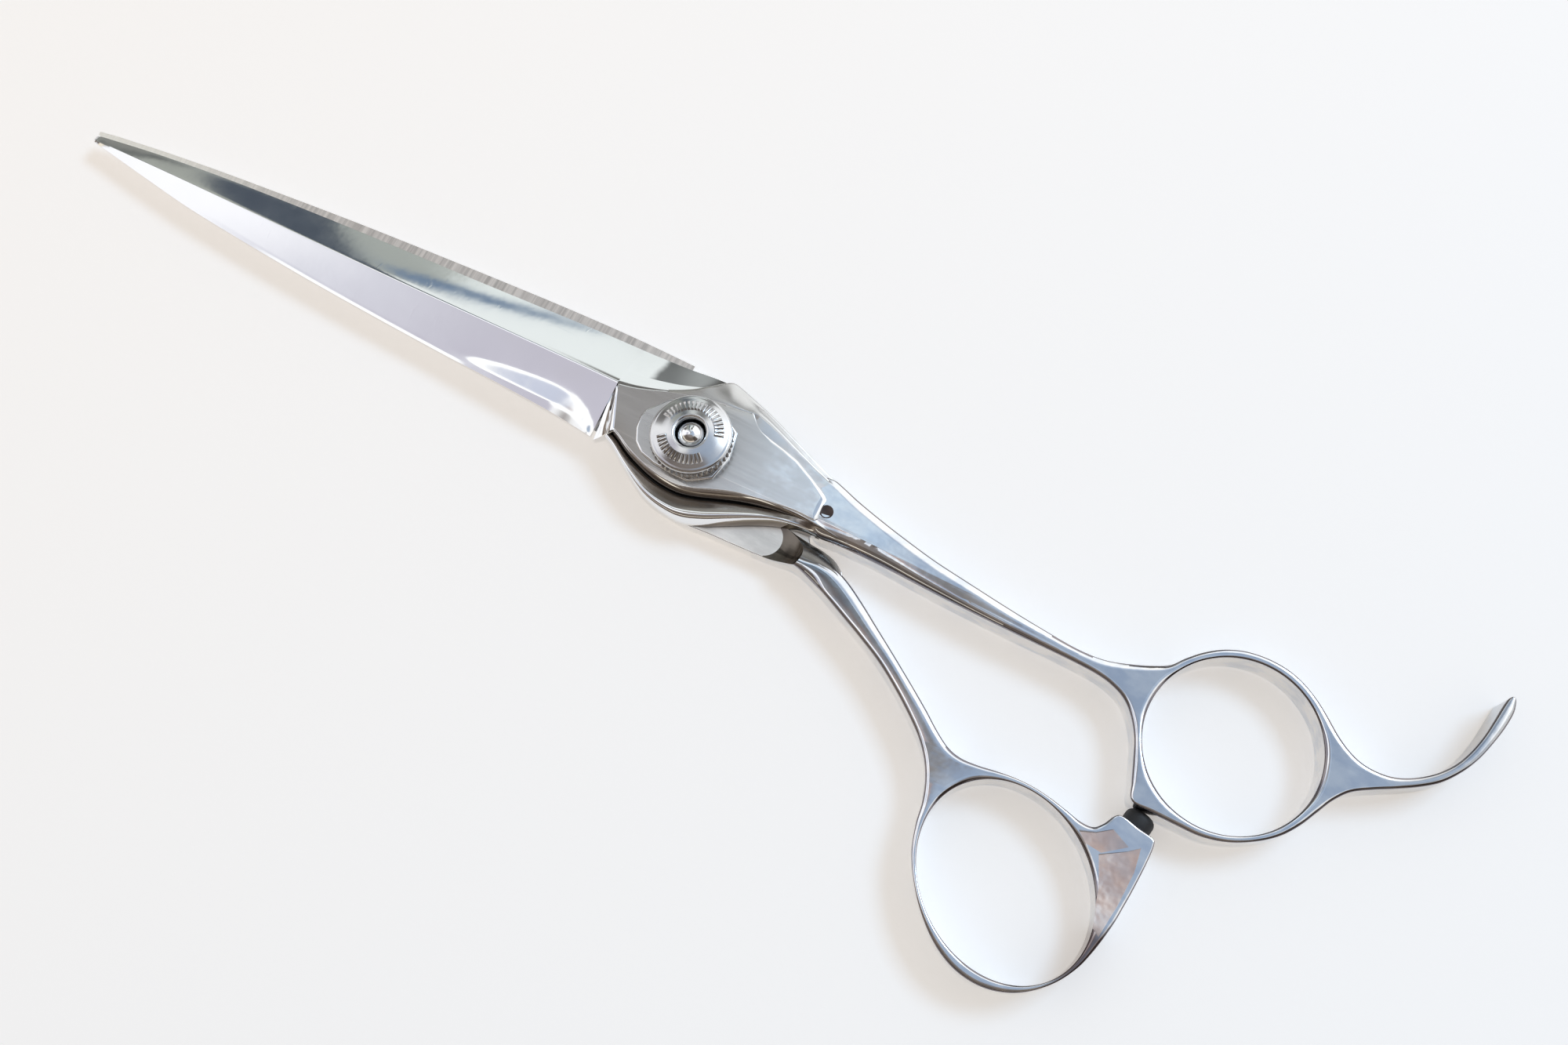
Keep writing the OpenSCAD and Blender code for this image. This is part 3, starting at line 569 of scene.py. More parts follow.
def add_flank(s):
    """The satin flank between the flat of the tang and its upper contour."""
    soft = 0.30
    out, inn = smooth(FLANK_OUT, 5), smooth(FLANK_IN, 5)
    rings = []
    m = len(out)
    for i, (o, n) in enumerate(zip(out, inn)):
        x = n[0]
        zi = TOP - 0.01 - 0.24 * step(x, 1.2, 7.0) - 0.14 * step(x, 16.6, 18.2)
        zo = RIDGE + 0.05 - 0.92 * step(i / (m - 1), 0.20, 0.60)
        w = dist(o, n)
        u = ((o[0] - n[0]) / w, (o[1] - n[1]) / w)
        ring = [(o[0], o[1], MATE), (o[0], o[1], zo - soft)]
        for j in range(1, 5):
            f = math.pi / 2 * j / 4
            x, y = (o[q] - u[q] * soft * (1 - math.cos(f)) for q in (0, 1))
            ring.append((x, y, zo - soft * (1 - math.sin(f))))
        for j in range(1, 8):
            t = j / 8
            p = mix((o[0] - u[0] * soft, o[1] - u[1] * soft), n, t)
            ring.append((p[0], p[1], zo + (zi - zo) * (1 - (1 - t) ** 1.6)))
        x, y = n[0] - u[0] * 1.3, n[1] - u[1] * 1.3
        ring += [(n[0], n[1], zi), (x, y, zi - 0.35), (x, y, MATE + 0.06)]
        rings.append(ring)
    s.skin(rings, kind=SATIN)


def add_band(s):
    """The band beside the raised plate, level with the shank."""
    inner, outer = smooth(BAND_IN, 6), smooth([p for p in FLANK_IN if p[0] > 4.5] + [(19.2, 2.6)], 8)
    rings = []
    for i, a in enumerate(inner):
        q = outer[round(i / (len(inner) - 1) * (len(outer) - 1))]
        z0 = TOP - 0.005 - 0.26 * step(a[0], 6.0, 10.5) - 0.10 * step(a[0], 17.4, 18.6)
        z1 = TOP - 0.005 - 0.26 * step(q[0], 5.5, 10.0) - 0.10 * step(q[0], 17.4, 18.6)
        rings.append([(q[0], q[1] + 0.02, MATE + 0.04), (q[0], q[1] + 0.02, z1 - 0.10), (q[0], q[1] - 0.10, z1),
                      (a[0], a[1], z0), (a[0], a[1] - 1.2, z0 - 0.1), (a[0], a[1] - 1.2, MATE + 0.04)])
    s.skin(rings, kind=SATIN)


def add_plate(s):
    """The raised plate of the tang, with a bevel where it stands over the band and the flank."""
    lo = [p for p in smooth(PLATE_LO, 6) if p[0] < 17.2]
    up = [p for p in smooth(FLANK_IN, 5) if p[0] < 5.2]
    crease_in = [(x + 0.10, y - 0.22) for x, y in smooth(CREASE, 4) if x < -6.3]
    outline = [(-11.95, 1.85)] + lo + PLATE_TIP[::-1] + [(10.6, 4.24), (8.6, 4.64), (7.0, 4.95), (6.2, 5.35)]
    outline += up[::-1] + crease_in[::-1]
    bevels = []
    for x, y in outline:
        if x > 5.1 and y > -1.95:
            bevels.append(0.02 + 0.40 * step(x, 6.4, 9.0) + 0.40 * step(x, 17.4, 18.0))
        else:
            bevels.append(0.02 if -6.0 < x < 1.0 and y > 3.9 else 0.16)
    s.slab(outline, (), MATE, TOP, [bevels], 0.05, SATIN, steps=4, wall_kind=POLISHED, drop=0.24)


def add_end_wall(s):
    """The end wall of the hollow, rounded where it meets the blade and the plate."""
    foot = [(-12.35, 2.05), (-12.0, 0.2), (-11.75, -1.6), (-11.45, -3.4), (-11.2, -5.0)]
    head = [(-12.1, 2.0), (-11.45, 0.72), (-10.85, -0.6), (-10.2, -1.95), (-9.58, -3.22)]
    # share of the way from foot to head, and share of the height there
    curve = ((-0.05, 0.02), (0.10, 0.06), (0.25, 0.14), (0.45, 0.34), (0.62, 0.58), (0.76, 0.80), (0.86, 0.92),
             (0.94, 0.985), (1.02, 1.0))
    rings = []
    for a, b in zip(smooth(foot, 4), smooth(head, 4)):
        w = max(0.25, dist(a, b))
        u = ((b[0] - a[0]) / w, (b[1] - a[1]) / w)
        low = min(4.95, 4.72 + 0.26 * (a[1] + 1.0) / 3 if a[1] > -3 else 4.55) - 0.55
        x, y = a[0] - u[0] * 0.30, a[1] - u[1] * 0.30
        ring = [(x, y, MATE), (x, y, low)]
        ring += [(a[0] + u[0] * q * w, a[1] + u[1] * q * w, low + (TOP - low) * h) for q, h in curve]
        ring += [(b[0] + 0.5, b[1] + 0.2, TOP - 0.03), (b[0] + 0.5, b[1] + 0.2, MATE)]
        rings.append(ring)
    s.skin(rings, kind=POLISHED)


def add_bar(s):
    """The rounded bar under the plate, with the groove above it; the groove and the bar's inner face are painted dark
    as shade.
    """
    # share of the bar's width, and height there
    crest = ((0.07, 4.38), (0.20, 4.53), (0.34, 4.68), (0.48, 4.81), (0.58, 4.88), (0.66, 4.915), (0.73, 4.90),
             (0.79, 4.82), (0.85, 4.66), (0.90, 4.42), (0.94, 4.12), (0.97, 3.76), (1.0, 3.35))
    lo, bar = smooth(PLATE_LO, 8), smooth(BAR_LO, 8)
    rings = []
    for a, b in zip(lo, bar):
        x = (a[0] + b[0]) / 2
        k = step(x, 11.5, 19.5)
        w = dist(a, b)
        u = ((b[0] - a[0]) / w, (b[1] - a[1]) / w)
        sink = 0.25 * step(x, 20.0, 23.5)
        # share of the width where the groove lies, its half width, and the way down to it from the plate
        g = 0.20 + 0.10 * step(x, 1, 10) + 0.06 * step(x, -3, -8)
        half = 0.030 * step(x, -9.5, -4.5) * (1 - step(x, 9.5, 13.5)) + 0.012
        prof = [(0.0, 5.10), (0.25 * g, 4.98), (0.5 * g, 4.80), (0.75 * g, 4.55), (g - half, 4.25),
                (g - half * 0.8, 3.70), (g + half * 0.8, 3.70), (g + half, 4.22)]
        prof += [(g + half + (1 - g - half) * q, z) for q, z in crest]
        under = a[0] - u[0] * 1.6, a[1] - u[1] * 1.6
        ring = [(*under, MATE + 0.05), (*under, 4.9 - sink)]
        for q, z in prof:
            full = 4.93 - 1.45 * max(0.0, q - 0.10) ** 2.0
            zz = z + (full - z) * k - sink
            ring.append((a[0] + u[0] * w * q, a[1] + u[1] * w * q, zz))
        ring.append((b[0], b[1], MATE))
        rings.append(ring)
    strips = range(len(rings[0]))
    s.skin(rings, kinds=[GROOVE if 6 <= j <= 8 else SHADE if 3 <= j <= 13 else POLISHED for j in strips])


def finger_blade_shape():
    s = Shape()
    for add in (add_blade, add_heel, add_flank, add_band, add_plate, add_end_wall, add_bar):
        add(s)
    return s


def thumb_blade_shape():
    s = Shape()
    rings = []
    for x, ye, yr, ys, k in smooth(THUMB_BLADE, 8):
        zr = FACE - 0.12 - (FACE - BACK - 0.37) * k
        zs = FACE - 0.06 - 0.12 * k
        ring = [(x, ye - 0.03, FACE), (x, ys, FACE), (x, ys, FACE - 0.05)]
        ring += [(x, ys + (yr - ys) * t, FACE - 0.05 + (zr - FACE + 0.05) * t) for t in (0.25, 0.5, 0.75)]
        ring += [(x, yr, zr)]
        ring += [(x, yr + (ye - yr) * t, zr + (zs - zr) * t - 0.08 * k * 4 * t * (1 - t))
                 for t in (0.25, 0.5, 0.75)]
        ring += [(x, ye, zs), (x, ye, FACE - 0.03)]
        rings.append(ring)
    s.skin(rings, kinds=[GROUND] + [POLISHED] * 11)
    s.slab(smooth(THUMB_TANG, 4), (), BACK, FACE - 0.005, 0.12, 0.4, SATIN, steps=3, wall_kind=POLISHED)
    return s


# ---------------------------------------------------------------- finishes
class Val:
    """A number socket that Python's operators work on."""

    def __init__(self, tree, socket):
        self.tree, self.socket = tree, socket

    def wire(self, node, values):
        """Links or sets the node's inputs in order and gives its first output."""
        for i, q in enumerate(values):
            if isinstance(q, Val):
                self.tree.links.new(q.socket, node.inputs[i])
            else:
                node.inputs[i].default_value = q
        return Val(self.tree, node.outputs[0])

    def math(self, op, *values, clamp=False):
        node = self.tree.nodes.new("ShaderNodeMath")
        node.operation, node.use_clamp = op, clamp
        return self.wire(node, values)

    def __add__(self, o): return self.math("ADD", self, o)
    def __radd__(self, o): return self.math("ADD", o, self)
    def __sub__(self, o): return self.math("SUBTRACT", self, o)
    def __rsub__(self, o): return self.math("SUBTRACT", o, self)
    def __mul__(self, o): return self.math("MULTIPLY", self, o)
    def __rmul__(self, o): return self.math("MULTIPLY", o, self)
    def __pow__(self, o): return self.math("POWER", self, o)
    def __abs__(self): return self.math("ABSOLUTE", self)
    def high(self, o): return self.math("MAXIMUM", self, o)
    def clamp(self): return self.math("ADD", self, 0.0, clamp=True)

    def step(self, a, b):
        """0 at a, 1 at b, smooth between."""
        node = self.tree.nodes.new("ShaderNodeMapRange")
        node.interpolation_type = "SMOOTHSTEP"
        return self.wire(node, (self, a, b, 0.0, 1.0))


class Finish:
    """Builds one material's nodes."""

    def __init__(self, name, roughness, metallic=1.0):
        self.mat = bpy.data.materials.new(name)
        self.mat.use_nodes = True
        self.tree = self.mat.node_tree
        self.bsdf = self.tree.nodes["Principled BSDF"]
        self.bsdf.inputs["Roughness"].default_value = roughness
        self.bsdf.inputs["Metallic"].default_value = metallic
        self.place = self.node("ShaderNodeTexCoord").outputs["Object"]

    def node(self, kind, settings=None, **sockets):
        """A new node. Its sockets go by name, or by number as i0, i1 and on, and take a value or a link."""
        n = self.tree.nodes.new(kind)
        for key, value in (settings or {}).items():
            setattr(n, key, value)
        for key, value in sockets.items():
            socket = n.inputs[int(key[1:])] if key[0] == "i" and key[1:].isdigit() else n.inputs[key.replace("_", " ")]
            if isinstance(value, Val):
                self.tree.links.new(value.socket, socket)
            elif isinstance(value, bpy.types.NodeSocket):
                self.tree.links.new(value, socket)
            else:
                socket.default_value = value
        return n

    def axes(self):
        n = self.node("ShaderNodeSeparateXYZ", i0=self.place)
        return [Val(self.tree, q) for q in n.outputs]

    def noise(self, scale, stretch=(1, 1, 1), detail=3.0, turn=0.0):
        m = self.node("ShaderNodeMapping", i0=self.place, Scale=stretch, Rotation=(0, 0, turn))
        n = self.node("ShaderNodeTexNoise", Vector=m.outputs[0], Scale=scale, Detail=detail, Roughness=0.6)
        return Val(self.tree, n.outputs["Fac"])

    def blend(self, factor, a, b, how="MIX"):
        """Colour a where factor is 0 and b where it is 1. With how at MULTIPLY, b darkens a instead."""
        n = self.node("ShaderNodeMix", {"data_type": "RGBA", "blend_type": how}, i0=factor, i6=a, i7=b)
        return n.outputs[2]

    def colour(self, socket):
        self.tree.links.new(socket, self.bsdf.inputs["Base Color"])

    def rough(self, value):
        self.tree.links.new(value.socket, self.bsdf.inputs["Roughness"])

    def bump(self, height, strength, distance):
        n = self.node("ShaderNodeBump", Strength=strength, Distance=distance, Height=height)
        self.tree.links.new(n.outputs[0], self.bsdf.inputs["Normal"])


def rgb(colour, k=1.0):
    return (*(q * k for q in colour), 1.0)


def polished_steel(name, colour, roughness, scratches=0.5, waves=0.25):
    """Mirror-polished steel with buffing haze and hairline scratches."""
    f = Finish(name, roughness)
    haze = f.noise(140.0, detail=4.0)
    hair = f.noise(900.0, (1.0, 0.05, 1.0), 2.0, 0.5)
    hair2 = f.noise(900.0, (0.05, 1.0, 1.0), 2.0, 0.9)
    marks = hair.step(0.66, 0.78).high(hair2.step(0.68, 0.80))
    f.colour(f.blend(haze.step(0.3, 0.7), rgb(colour, 0.97), rgb(colour, 1.0)))
    f.rough(roughness + 0.05 * haze.step(0.35, 0.75) + 0.06 * scratches * marks)
    f.bump(waves * f.noise(420.0, detail=2.0) + 0.15 * scratches * marks, 0.05, 0.0004)
    return f.mat


def shank_steel(name, colour, roughness, tone, lug_corner_reflection=False):
    """Polished and softly mottled steel. tone is two places along X and the tone at each: a painted shade that darkens
    it towards one end. The last flag paints a brown reflection on the ring's side by the lug.
    """
    f = Finish(name, roughness)
    x, y, _ = f.axes()
    haze = f.noise(150.0, detail=4.0)
    patches = f.noise(330.0, (0.6, 1.0, 1.0), 3.0).step(0.36, 0.62)
    along = (x + 0.004 * (haze - 0.5)).step(tone[0], tone[1])
    shade = f.blend(along, rgb(colour, tone[2]), rgb(colour, tone[3]))
    shade = f.blend(1.0, shade, f.blend(patches, rgb((0.80, 0.84, 0.90)), rgb((1.0, 1.0, 1.0))), "MULTIPLY")
    if lug_corner_reflection:
        # painted brown reflection on the ring's side by the lug
        right = (x + 0.25 * y + 0.003 * (haze - 0.5)).step(0.0545, 0.0590)
        below = 1 - (y + 0.002 * haze).step(-0.0295, -0.0270)
        shade = f.blend(right * below, shade, rgb((0.34, 0.27, 0.25)), "MULTIPLY")
    f.colour(shade)
    f.rough(roughness + 0.06 * haze.step(0.35, 0.75))
    f.bump(0.8 * f.noise(420.0, detail=2.0), 0.05, 0.0004)
    return f.mat


def satin_steel(name, colour, roughness, turn=0.4, patchy=0.0):
    """Steel brushed one way, with a fine grain. patchy is how much of its tone comes in broad streaks."""
    f = Finish(name, roughness)
    grain = f.noise(1500.0, (0.06, 1.0, 1.0), 3.0, turn)
    cloud = f.noise(90.0, detail=3.0)
    patches = f.noise(330.0, (0.4, 1.0, 1.0), 4.0, turn).step(0.38, 0.62)
    streak = (grain * (1 - patchy) + patchy * patches).clamp()
    f.colour(f.blend(streak, rgb(colour, 0.90 - 0.4 * patchy), rgb(colour, 1.04 + 0.1 * patchy)))
    f.rough(roughness + 0.10 * grain - 0.06 * cloud)
    f.bump(grain, 0.25, 0.00004)
    return f.mat


def heel_reflection_steel(name, colour, roughness):
    """Polished face beside the tang, with a painted dark reflection: it turns grey towards the heel, a little less dark
    at its right end.
    """
    f = Finish(name, roughness)
    x, y, _ = f.axes()
    haze = f.noise(140.0, detail=4.0)
    grey = (x + 0.002 * (haze - 0.5) - 0.10 * (y - 0.0065)).step(-0.0094, -0.0082)
    light = (x + 0.5 * y).step(-0.0045, 0.0025)
    f.colour(f.blend(grey, rgb(colour), f.blend(light, rgb(colour, 0.22), rgb(colour, 0.46))))
    f.rough(roughness + 0.05 * haze.step(0.35, 0.75))
    return f.mat


def plate_steel(name, roughness):
    """Brushed tang with painted reflection: straw-grey by the blade, cooler and brighter towards the shank, with a
    painted shade in its lower left.
    """
    f = Finish(name, roughness)
    grain = f.noise(1500.0, (0.06, 1.0, 1.0), 3.0, 0.4)
    cloud = f.noise(110.0, detail=3.0)
    x, y, _ = f.axes()
    # painted reflection: the tone changes along X, and a painted shade darkens the lower left
    along = (x + 0.004 * (cloud - 0.5)).step(-0.006, 0.016)
    shade = (x * 1.2 + y * 1.9 + 0.0185).step(-0.0035, 0.0075)
    tone = f.blend(along, rgb((0.50, 0.475, 0.44)), rgb((0.90, 0.93, 0.95)))
    tone = f.blend(shade, rgb((0.40, 0.36, 0.30)), tone)
    # painted reflection: bright bluish patches towards the shank
    cool = f.noise(260.0, (0.7, 1.0, 1.0), 3.0).step(0.40, 0.62)
    tone = f.blend((x.step(0.006, 0.015) * cool).clamp(), tone, rgb((1.12, 1.20, 1.26)))
    f.colour(f.blend(0.35, tone, f.blend(grain, rgb((0.6, 0.6, 0.6)), rgb((1.0, 1.0, 1.0))), "MULTIPLY"))
    f.rough(roughness + 0.08 * grain - 0.04 * cloud)
    f.bump(grain, 0.2, 0.00004)
    return f.mat


def ground_steel(name, colour, roughness):
    """Inner blade face: stone-ground, its lines cross the cutting edge. Towards the tip a painted sheen makes it paler.
    """
    f = Finish(name, roughness)
    lines = f.noise(2600.0, (1.0, 0.03, 1.0), 3.0, 0.08)
    broad = f.noise(1300.0, (1.0, 0.05, 1.0), 3.0, 0.08)
    x = f.axes()[0]
    pale = f.blend(lines, rgb((0.96, 0.92, 0.82), 0.84), rgb((0.98, 0.95, 0.86), 1.02))
    full = f.blend((0.45 * lines + 0.55 * broad).step(0.34, 0.66), rgb(colour, 0.72), rgb(colour, 1.10))
    # painted sheen: paler towards the tip
    f.colour(f.blend(x.step(-0.088, -0.058), pale, full))
    f.rough(roughness + 0.15 * lines)
    f.bump(lines, 0.35, 0.00005)
    return f.mat


def turned_steel(name, colour, roughness):
    """Lathe-turned steel: rings round the pivot axis."""
    f = Finish(name, roughness)
    x, y, z = f.axes()
    radius = (x * x + y * y) ** 0.5
    spot = f.node("ShaderNodeCombineXYZ", i0=radius, i1=z)
    noise = f.node("ShaderNodeTexNoise", Vector=spot.outputs[0], Scale=5200.0, Detail=2.0)
    rings = Val(f.tree, noise.outputs["Fac"])
    haze = f.noise(300.0, detail=3.0)
    f.colour(f.blend(rings, rgb(colour, 0.94), rgb(colour, 1.02)))
    f.rough(roughness + 0.06 * rings + 0.05 * haze.step(0.4, 0.8))
    f.bump(rings, 0.10, 0.00003)
    return f.mat


def grainy(name, dark, light, roughness, spread, scale, detail, metallic, bump=0.0):
    """One fine grain leads the colour, the gloss and the relief. spread is what the grain adds to the roughness."""
    f = Finish(name, roughness, metallic)
    grain = f.noise(scale, detail=detail)
    f.colour(f.blend(grain, dark, light))
    f.rough(roughness + spread * grain)
    if bump:
        f.bump(grain, bump, 0.00003)
    return f.mat


def painted_groove_shade(name):
    """Painted shade: near-black, rough steel along the bottom of the milled groove, standing for the shadow in it."""
    return grainy(name, rgb((0.012, 0.011, 0.010)), rgb((0.05, 0.047, 0.045)), 0.42, 0.2, 1500.0, 3.0, 0.6)


def soft_rubber(name, colour):
    return grainy(name, rgb(colour, 0.7), rgb(colour, 1.4), 0.5, 0.18, 1800.0, 3.0, 0.0, 0.3)


def slick_plastic(name, colour):
    return grainy(name, rgb(colour, 0.93), rgb(colour, 1.0), 0.35, 0.12, 700.0, 2.0, 0.0, 0.1)


def cast_bronze(name, colour):
    f = Finish(name, 0.32)
    grain = f.noise(1200.0, detail=4.0)
    f.colour(f.blend(grain.step(0.35, 0.65), rgb(colour, 0.8), rgb(colour, 1.05)))
    f.rough(0.28 + 0.16 * grain)
    f.bump(grain, 0.15, 0.00003)
    return f.mat


STEEL = (0.86, 0.865, 0.87)
SATIN_TONE = (0.70, 0.69, 0.665)
# dark tone of the rims: a painted dark reflection along the outlines
RIM_REFLECTION_TONE = (0.31, 0.28, 0.285)


# ---------------------------------------------------------------- what repeats
def ring_tree(name, numbers):
    """Geometry Nodes: copies one small mesh round the pivot axis, turned to face outwards."""
    tree = bpy.data.node_groups.new(name, "GeometryNodeTree")
    face = tree.interface
    face.new_socket("Piece", in_out="INPUT", socket_type="NodeSocketGeometry")
    for label, value in numbers.items():
        kind = "NodeSocketInt" if label == "Count" else "NodeSocketFloat"
        face.new_socket(label, in_out="INPUT", socket_type=kind).default_value = value
    face.new_socket("Finish", in_out="INPUT", socket_type="NodeSocketMaterial")
    face.new_socket("Ring", in_out="OUTPUT", socket_type="NodeSocketGeometry")
    new, link = tree.nodes.new, tree.links.new
    gin, out = new("NodeGroupInput"), new("NodeGroupOutput")
    points = new("GeometryNodeMeshLine")
    points.mode = "OFFSET"
    points.inputs["Offset"].default_value = (0, 0, 0)
    link(gin.outputs["Count"], points.inputs["Count"])
    index = new("GeometryNodeInputIndex")

    def calc(op, *values):
        n = new("ShaderNodeMath")
        n.operation = op
        for i, q in enumerate(values):
            link(q, n.inputs[i])
        return n.outputs[0]

    share = calc("DIVIDE", index.outputs[0], gin.outputs["Count"])
    angle = calc("ADD", calc("MULTIPLY", share, gin.outputs["Sweep"]), gin.outputs["Start"])
    spot = new("ShaderNodeCombineXYZ")
    link(calc("MULTIPLY", calc("COSINE", angle), gin.outputs["Radius"]), spot.inputs[0])
    link(calc("MULTIPLY", calc("SINE", angle), gin.outputs["Radius"]), spot.inputs[1])
    move = new("GeometryNodeSetPosition")
    link(points.outputs[0], move.inputs["Geometry"])
    link(spot.outputs[0], move.inputs["Position"])
    turn = new("ShaderNodeCombineXYZ")
    link(angle, turn.inputs[2])
    copies = new("GeometryNodeInstanceOnPoints")
    link(move.outputs[0], copies.inputs["Points"])
    link(gin.outputs["Piece"], copies.inputs["Instance"])
    link(turn.outputs[0], copies.inputs["Rotation"])
    real = new("GeometryNodeRealizeInstances")
    link(copies.outputs[0], real.inputs[0])
    paint = new("GeometryNodeSetMaterial")
    link(real.outputs[0], paint.inputs["Geometry"])
    link(gin.outputs["Finish"], paint.inputs["Material"])
    link(paint.outputs[0], out.inputs[0])
    return tree


def ringed(shape, name, finish, tree_name, count, radius, start=0.0, sweep=2 * math.pi):
    """One shape copied round the axis and settled into a plain mesh."""
    numbers = {"Count": count, "Radius": radius * MM, "Start": start, "Sweep": sweep}
    obj = shape.make(name, [finish], weigh=False)
    mod = obj.modifiers.new("ring", "NODES")
    tree = ring_tree(tree_name, numbers)
    mod.node_group = tree
    ids = {item.name: item.identifier for item in tree.interface.items_tree if item.in_out == "INPUT"}
    for label, value in {**numbers, "Finish": finish}.items():
        mod[ids[label]] = value
    return settle(obj)


def join(name, parts):
    """Joins plain meshes into one object."""
    bm = bmesh.new()
    mats = []
    for o in parts:
        shift = []
        for m in o.data.materials:
            if m not in mats:
                mats.append(m)
            shift.append(mats.index(m))
        before = len(bm.faces)
        bm.from_mesh(o.data)
        bm.faces.ensure_lookup_table()
        for f in bm.faces[before:]:
            f.material_index = shift[f.material_index] if shift else 0
    mesh = bpy.data.meshes.new(name)
    bm.to_mesh(mesh)
    bm.free()
    for m in mats:
        mesh.materials.append(m)
    for o in parts:
        bpy.data.objects.remove(o, do_unlink=True)
    obj = bpy.data.objects.new(name, mesh)
    bpy.context.scene.collection.objects.link(obj)
    return obj


def place(obj, body, nodes):
    """Says which body the piece rides and which nodes it replaces."""
    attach(obj, body)
    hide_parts(*nodes)


# ---------------------------------------------------------------- settings
def colour_setting(name, description, default):
    return bpy.props.FloatVectorProperty(
        name=name, description=description, subtype="COLOR", size=3, min=0, max=1, default=default)


class ShearsFinish(bpy.types.PropertyGroup):
    """Colours and gloss that a user may change."""

    steel: colour_setting("Steel", "Colour of the polished steel", STEEL)
    satin: colour_setting("Satin steel", "Colour of the brushed tang", SATIN_TONE)
    gloss: bpy.props.FloatProperty(
        name="Polish roughness", description="Roughness of the polished faces", min=0.01, max=0.5, default=0.07)
    rubber: colour_setting("Rubber", "Colour of the bumper", (0.012, 0.012, 0.013))
    bronze: colour_setting("Bronze", "Colour of the bearing bush", (0.66, 0.47, 0.22))


class ShearsSizes(bpy.types.PropertyGroup):
    """Sizes of the small finishing details."""

    knurls: bpy.props.IntProperty(
        name="Knurls", description="Ridges round the tension dial", min=12, max=60, default=48)
    ticks: bpy.props.IntProperty(
        name="Ticks", description="Tension marks on the dial", min=4, max=40, default=20)
    bolt_tip: bpy.props.FloatProperty(
        name="Bolt tip", description="Radius of the domed bolt tip in millimetres", min=1.0, max=1.8, default=1.66)


class ShearsStudio(bpy.types.PropertyGroup):
    """Light and paper."""

    window: bpy.props.FloatProperty(
        name="Window light", description="Power of the large soft light", unit="POWER", min=0.0, default=4.2)
    # painted light: the paper's glow lifts its shadows
    glow: bpy.props.FloatProperty(
        name="Paper glow", description="Painted glow of the paper that lifts its shadows", min=0.0, max=1.0,
        default=0.40)
    sky: bpy.props.FloatProperty(
        name="Room light", description="Strength of the even light from all sides", min=0.0, default=0.52)


def settings():
    s = bpy.context.scene
    return s.shears_finish, s.shears_sizes, s.shears_studio


# ---------------------------------------------------------------- operators
class Builder:
    """What the operators share: each builds its pieces from the scene's settings."""

    def execute(self, context):
        self.build(*settings())
        return {"FINISHED"}


class SHEARS_OT_finger_blade(Builder, bpy.types.Operator):
    """Blade and tang of the finger half"""

    bl_idname = "shears.finger_blade"
    bl_label = "Finger blade"

    def build(self, fin, siz, stu):
        # the groove's finish is painted shade; the bar's shaded finish, the heel's and the tang's carry painted shade
        # and reflection
        mats = [polished_steel("polished blade steel", fin.steel, fin.gloss),
                plate_steel("brushed tang steel with painted reflection", 0.22),
                painted_groove_shade("painted groove shade"),
                heel_reflection_steel("heel steel painted reflection", fin.steel, fin.gloss),
                satin_steel("shaded bar steel", (0.34, 0.31, 0.285), 0.20)]
        obj = finger_blade_shape().make("finger_blade_polished", mats)
        place(obj, "finger_half", ["finger_blade"])


class SHEARS_OT_finger_handle(Builder, bpy.types.Operator):
    """Shank, ring and finger rest"""

    bl_idname = "shears.finger_handle"
    bl_label = "Finger handle"

    def build(self, fin, siz, stu):
        # painted shade: the tops darken towards the ring, the walls at the rest and the rims past the shank; the rims'
        # dark tone is a painted reflection too
        mats = [shank_steel("polished handle steel", fin.steel, fin.gloss + 0.02, (0.030, 0.060, 1.0, 0.86)),
                shank_steel("polished handle edges", fin.steel, fin.gloss + 0.01, (0.088, 0.094, 1.0, 0.62)),
                shank_steel("handle rims painted reflection", RIM_REFLECTION_TONE, fin.gloss + 0.03, (0.060, 0.066, 1.0, 0.8))]
        obj = finger_handle_shape().make("finger_handle_polished", mats, weigh=False)
        # the dimple beside the tip of the plate, drawn as a dark disc on the surface: painted shade stands for its
        # hollow
        dimple = Shape()
        disc = [(0, 4.80), (0.86, 4.80), (0.86, 4.945), (0.78, 4.965), (0.70, 4.95), (0.66, 4.94), (0, 4.94)]
        dimple.lathe(disc, (18.80, -0.42, 0.0), 48)
        dark = satin_steel("dimple painted shade", (0.085, 0.065, 0.058), 0.3)
        obj = join("finger_handle_polished", [obj, dimple.make("dimple", [dark], weigh=False)])
        even(obj)
        place(obj, "finger_half", ["finger_handle"])


class SHEARS_OT_thumb_blade(Builder, bpy.types.Operator):
    """Blade and tang of the thumb half"""

    bl_idname = "shears.thumb_blade"
    bl_label = "Thumb blade"

    def build(self, fin, siz, stu):
        mats = [polished_steel("polished thumb blade steel", fin.steel, fin.gloss),
                satin_steel("brushed thumb tang", (0.95, 0.92, 0.86), 0.30, 1.9, 0.5),
                ground_steel("ground inner face", (0.70, 0.65, 0.60), 0.34)]
        obj = thumb_blade_shape().make("thumb_blade_polished", mats)
        place(obj, "thumb_half", ["thumb_blade"])


# two shallow facets ground beside the bumper lug: outline, then a point of the plane and its slopes
LUG_FACETS = (
    ([(61.6, -20.6), (63.4, -19.9), (65.0, -18.7), (67.35, -19.75), (64.9, -21.75), (62.9, -21.6)],
     (67.2, -19.8, 5.06), (0.11, 0.024)),
    ([(64.7, -21.95), (67.45, -20.2), (68.6, -19.2), (69.05, -22.0), (68.95, -26.0), (68.5, -30.2), (67.4, -29.5),
      (66.3, -25.4)], (68.9, -22.0, 5.06), (0.123, 0.02)))


